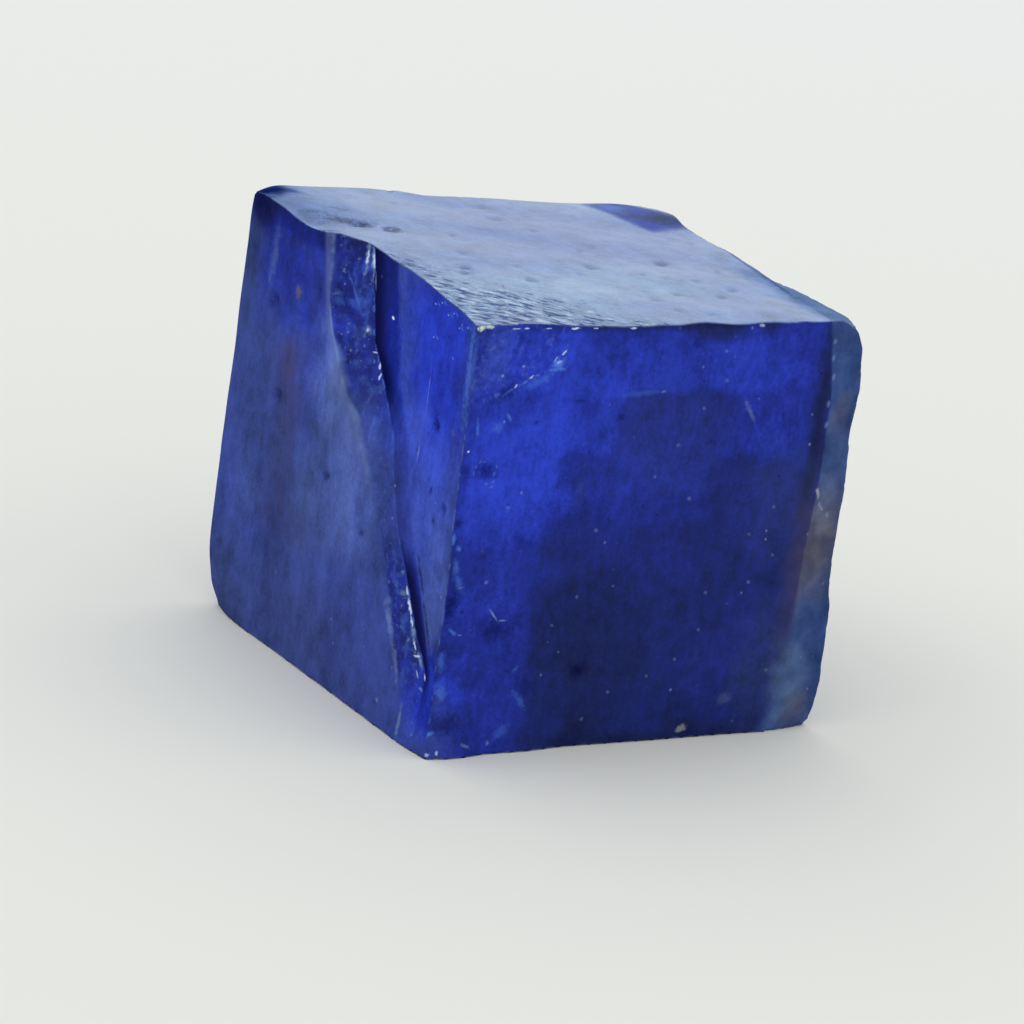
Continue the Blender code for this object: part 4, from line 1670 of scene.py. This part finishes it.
    def _fleck(self, mesh: bpy.types.Mesh, places: np.ndarray) -> None:
        """Gives each face's corners their places as seen from the face's nearest fleck of each tone.

        Args:
            mesh: the stone's mesh.
            places: the places of its points, in mm from the block's corner.
        """
        faces, corner_places = mesh.polygons, places[values_of(mesh.loops, "vertex_index", 1, int)]
        face_of_corner = np.repeat(np.arange(len(faces)), values_of(faces, "loop_total", 1, int))
        middles, normals = from_corner(values_of(faces, "center", 3)), values_of(faces, "normal", 3)
        for tone in Tone:
            nearest = np.full(len(faces), self.fleck_search)
            seen = np.full(corner_places.shape, self.unmarked)
            for fleck in (fleck for fleck in FLECKS if fleck.tone is tone):
                away = np.linalg.norm(fleck.local(middles), axis=1)
                mine = (normals @ np.array(INTO[fleck.side]) < -self.fleck_facing) & (away < nearest)
                nearest[mine] = away[mine]
                taken = mine[face_of_corner]
                seen[taken] = fleck.local(corner_places[taken])
                seen[taken, 2] = np.where(np.abs(seen[taken, 2]) < self.fleck_through, fleck.strength, 0.0)
            layer = mesh.attributes.new(FLECK_ATTRIBUTE.format(tone.value), "FLOAT_VECTOR", "CORNER")
            layer.data.foreach_set("vector", seen.ravel())

    def _sides(self, places: np.ndarray, facing: np.ndarray) -> dict[Side, np.ndarray]:
        """How much each place is on each side.

        Args:
            places: places in mm from the block's corner.
            facing: the way that the surface faces at each place.

        Returns:
            A weight from 0 to 1 for each side, from how near its plane is and how much the place faces it.
        """
        x, y, z = places.T
        inside = {
            Side.LEFT: x + self.side_lean * z / self.span,
            Side.RIGHT: self.width - self.side_lean * z / self.span - x,
            Side.FRONT: y - self.front_lean * z / self.span,
            Side.BACK: self.depth - y,
            Side.TOP: self.height + self.top_rise * y / self.span - z,
            Side.BASE: z,
        }
        for side in inside:
            inside[side] = inside[side] + self.facing_weight * (1 + facing @ np.array(INTO[side]))
        stray = wavy(places, self.blend_pitch, EDGE_LAYER) * self.blend_wave
        inside[Side.TOP] = inside[Side.TOP] + stray
        inside[Side.FRONT] = inside[Side.FRONT] - stray
        nearest, second = np.sort(np.stack(list(inside.values())), axis=0)[:2]
        weights = {}
        for side, distance in inside.items():
            rival = np.where(distance <= nearest, second, nearest)
            weights[side] = soft((rival - distance) / self.blend_width + 0.5)
        total = sum(weights.values())
        return {side: weight / total for side, weight in weights.items()}

    def _edge_highlights(self, mesh: bpy.types.Mesh) -> np.ndarray:
        """How much painted highlight each point gets, from how sharply the surface turns outwards there.

        Args:
            mesh: the stone's mesh.

        Returns:
            A share from 0 to 1 for each point.
        """
        points, normals = values_of(mesh.vertices, "co", 3), values_of(mesh.vertex_normals, "vector", 3)
        first, second = values_of(mesh.edges, "vertices", 2, int).T
        along_edge = points[second] - points[first]
        length = np.linalg.norm(along_edge, axis=1) + self.least_length  # it is divided by below
        turn, tally = np.zeros(len(points)), np.zeros(len(points))
        for end, sign in ((first, -1), (second, 1)):
            np.add.at(turn, end, sign * np.einsum("ij,ij->i", along_edge, normals[end]) / length)
            np.add.at(tally, end, 1)
        return soft((turn / tally - self.highlight_from) / self.highlight_over)


def direction(azimuth: float, elevation: float) -> Vector:
    """The unit vector from the stone towards a bearing in degrees; azimuth 0 is in front of it, at -Y."""
    turn, rise = math.radians(azimuth), math.radians(elevation)
    return Vector((math.sin(turn) * math.cos(rise), -math.cos(turn) * math.cos(rise), math.sin(rise)))


def aimed(azimuth: float, elevation: float) -> Matrix:
    """The turn of a lamp or camera that stands at a bearing and looks back at the stone."""
    return direction(azimuth, elevation).to_track_quat("Z", "Y").to_matrix().to_4x4()


@dataclass(frozen=True)
class Softbox:
    """A soft lamp aimed at the stone, placed by its bearing from it.

    Attributes:
        name: the lamp's name.
        bearing: its azimuth and elevation, in degrees.
        distance: how far off it is, in metres.
        size: its width and height, in metres.
        radiance: how bright its face is.
    """

    name: str
    bearing: tuple[float, float]
    distance: float
    size: tuple[float, float]
    radiance: float

    def build(self) -> None:
        """Makes the lamp, which the camera doesn't see."""
        lamp = bpy.data.lights.new(self.name, "AREA")
        lamp.shape = "RECTANGLE"
        lamp.size, lamp.size_y = self.size
        lamp.energy = self.radiance * math.pi * self.size[0] * self.size[1]
        light = bpy.data.objects.new(self.name, lamp)
        bpy.context.scene.collection.objects.link(light)
        place = Matrix.Translation(direction(*self.bearing) * self.distance)
        light.matrix_world = place @ aimed(*self.bearing)
        light.visible_camera = False


@dataclass
class Studio:
    """The pale table, the soft light and the camera.

    Sizes are in metres and angles in degrees; the lens and its sensor are in mm. The table is the near colour
    up to the first of two distances behind the stone, and the far colour from the second.
    """

    eye: Place = (-0.15662, -0.23071, 0.09466)
    azimuth: float = -33.99
    elevation: float = 16.99
    roll: float = 8.75
    lens: float = 175.78
    sensor: float = 36.0
    clip: tuple[float, float] = (0.01, 50.0)
    table_size: float = 12.0
    table_roughness: float = 0.9
    table_specular: float = 0.1
    near_colour: Colour = (0.805, 0.785, 0.725)
    far_colour: Colour = (0.81, 0.805, 0.80)
    far_from: tuple[float, float] = (0.0, 0.5)
    sky_colour: Colour = (0.92, 0.965, 1.0)
    sky_strength: float = 0.985
    lamps: tuple[Softbox, ...] = (
        Softbox("back_softbox", (146.0, 28.0), 1.2, (1.6, 0.9), 0.35),
        Softbox("left_softbox", (-100.0, 45.0), 1.0, (0.8, 0.6), 0.6),
    )

    def build(self) -> None:
        """Makes the table, the lamps, the sky and the camera."""
        self._table()
        for lamp in self.lamps:
            lamp.build()
        self._sky()
        self._camera()
        bpy.context.scene.view_settings.view_transform = "Standard"

    def _table(self) -> None:
        """Makes a plain pale plane under the stone."""
        half = self.table_size / 2
        rim = [(-half, -half, 0), (half, -half, 0), (half, half, 0), (-half, half, 0)]
        mesh = bpy.data.meshes.new("table")
        mesh.from_pydata(rim, [], [(0, 1, 2, 3)])
        table = bpy.data.objects.new("table", mesh)
        bpy.context.scene.collection.objects.link(table)
        mesh.materials.append(self._table_material())

    def _table_material(self) -> bpy.types.Material:
        """Makes a dull pale surface that turns cooler away from the camera.

        Returns:
            The table's material.
        """
        material = bpy.data.materials.new("table_pale")
        material.use_nodes = True
        graph = Graph(material.node_tree)
        place = graph.add("ShaderNodeTexCoord", {}, {}).outputs["Object"]
        sockets = {0: place, 1: tuple(-direction(self.azimuth, 0.0))}
        far = graph.add("ShaderNodeVectorMath", {"operation": "DOT_PRODUCT"}, sockets).outputs["Value"]
        colour = graph.blend(Value(graph, far).between(*self.far_from), self.near_colour, self.far_colour)
        dull = {"Roughness": self.table_roughness, "Specular IOR Level": self.table_specular}
        surface = graph.add("ShaderNodeBsdfPrincipled", {}, {"Base Color": colour, **dull}).outputs[0]
        graph.add("ShaderNodeOutputMaterial", {}, {"Surface": surface})
        return material

    def _sky(self) -> None:
        """Makes an even pale surround."""
        world = bpy.data.worlds.new("surround")
        bpy.context.scene.world = world
        world.use_nodes = True
        background = world.node_tree.nodes["Background"]
        background.inputs["Color"].default_value = (*self.sky_colour, 1.0)
        background.inputs["Strength"].default_value = self.sky_strength

    def _camera(self) -> None:
        """Makes the camera: a long lens, a little above the stone, rolled so that the stone seems tipped."""
        lens = bpy.data.cameras.new("camera")
        lens.lens, lens.sensor_width = self.lens, self.sensor
        lens.clip_start, lens.clip_end = self.clip
        camera = bpy.data.objects.new("camera", lens)
        bpy.context.scene.collection.objects.link(camera)
        tip = Matrix.Rotation(math.radians(self.roll), 4, "Z")
        camera.matrix_world = Matrix.Translation(Vector(self.eye)) @ aimed(self.azimuth, self.elevation) @ tip
        bpy.context.scene.camera = camera


def main() -> None:
    """Builds the stone and its studio, and logs how many faces the stone has."""
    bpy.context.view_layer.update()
    Studio().build()
    LOG.info("studio: ready")
    Stone().build()


if __name__ == "__main__":
    main()
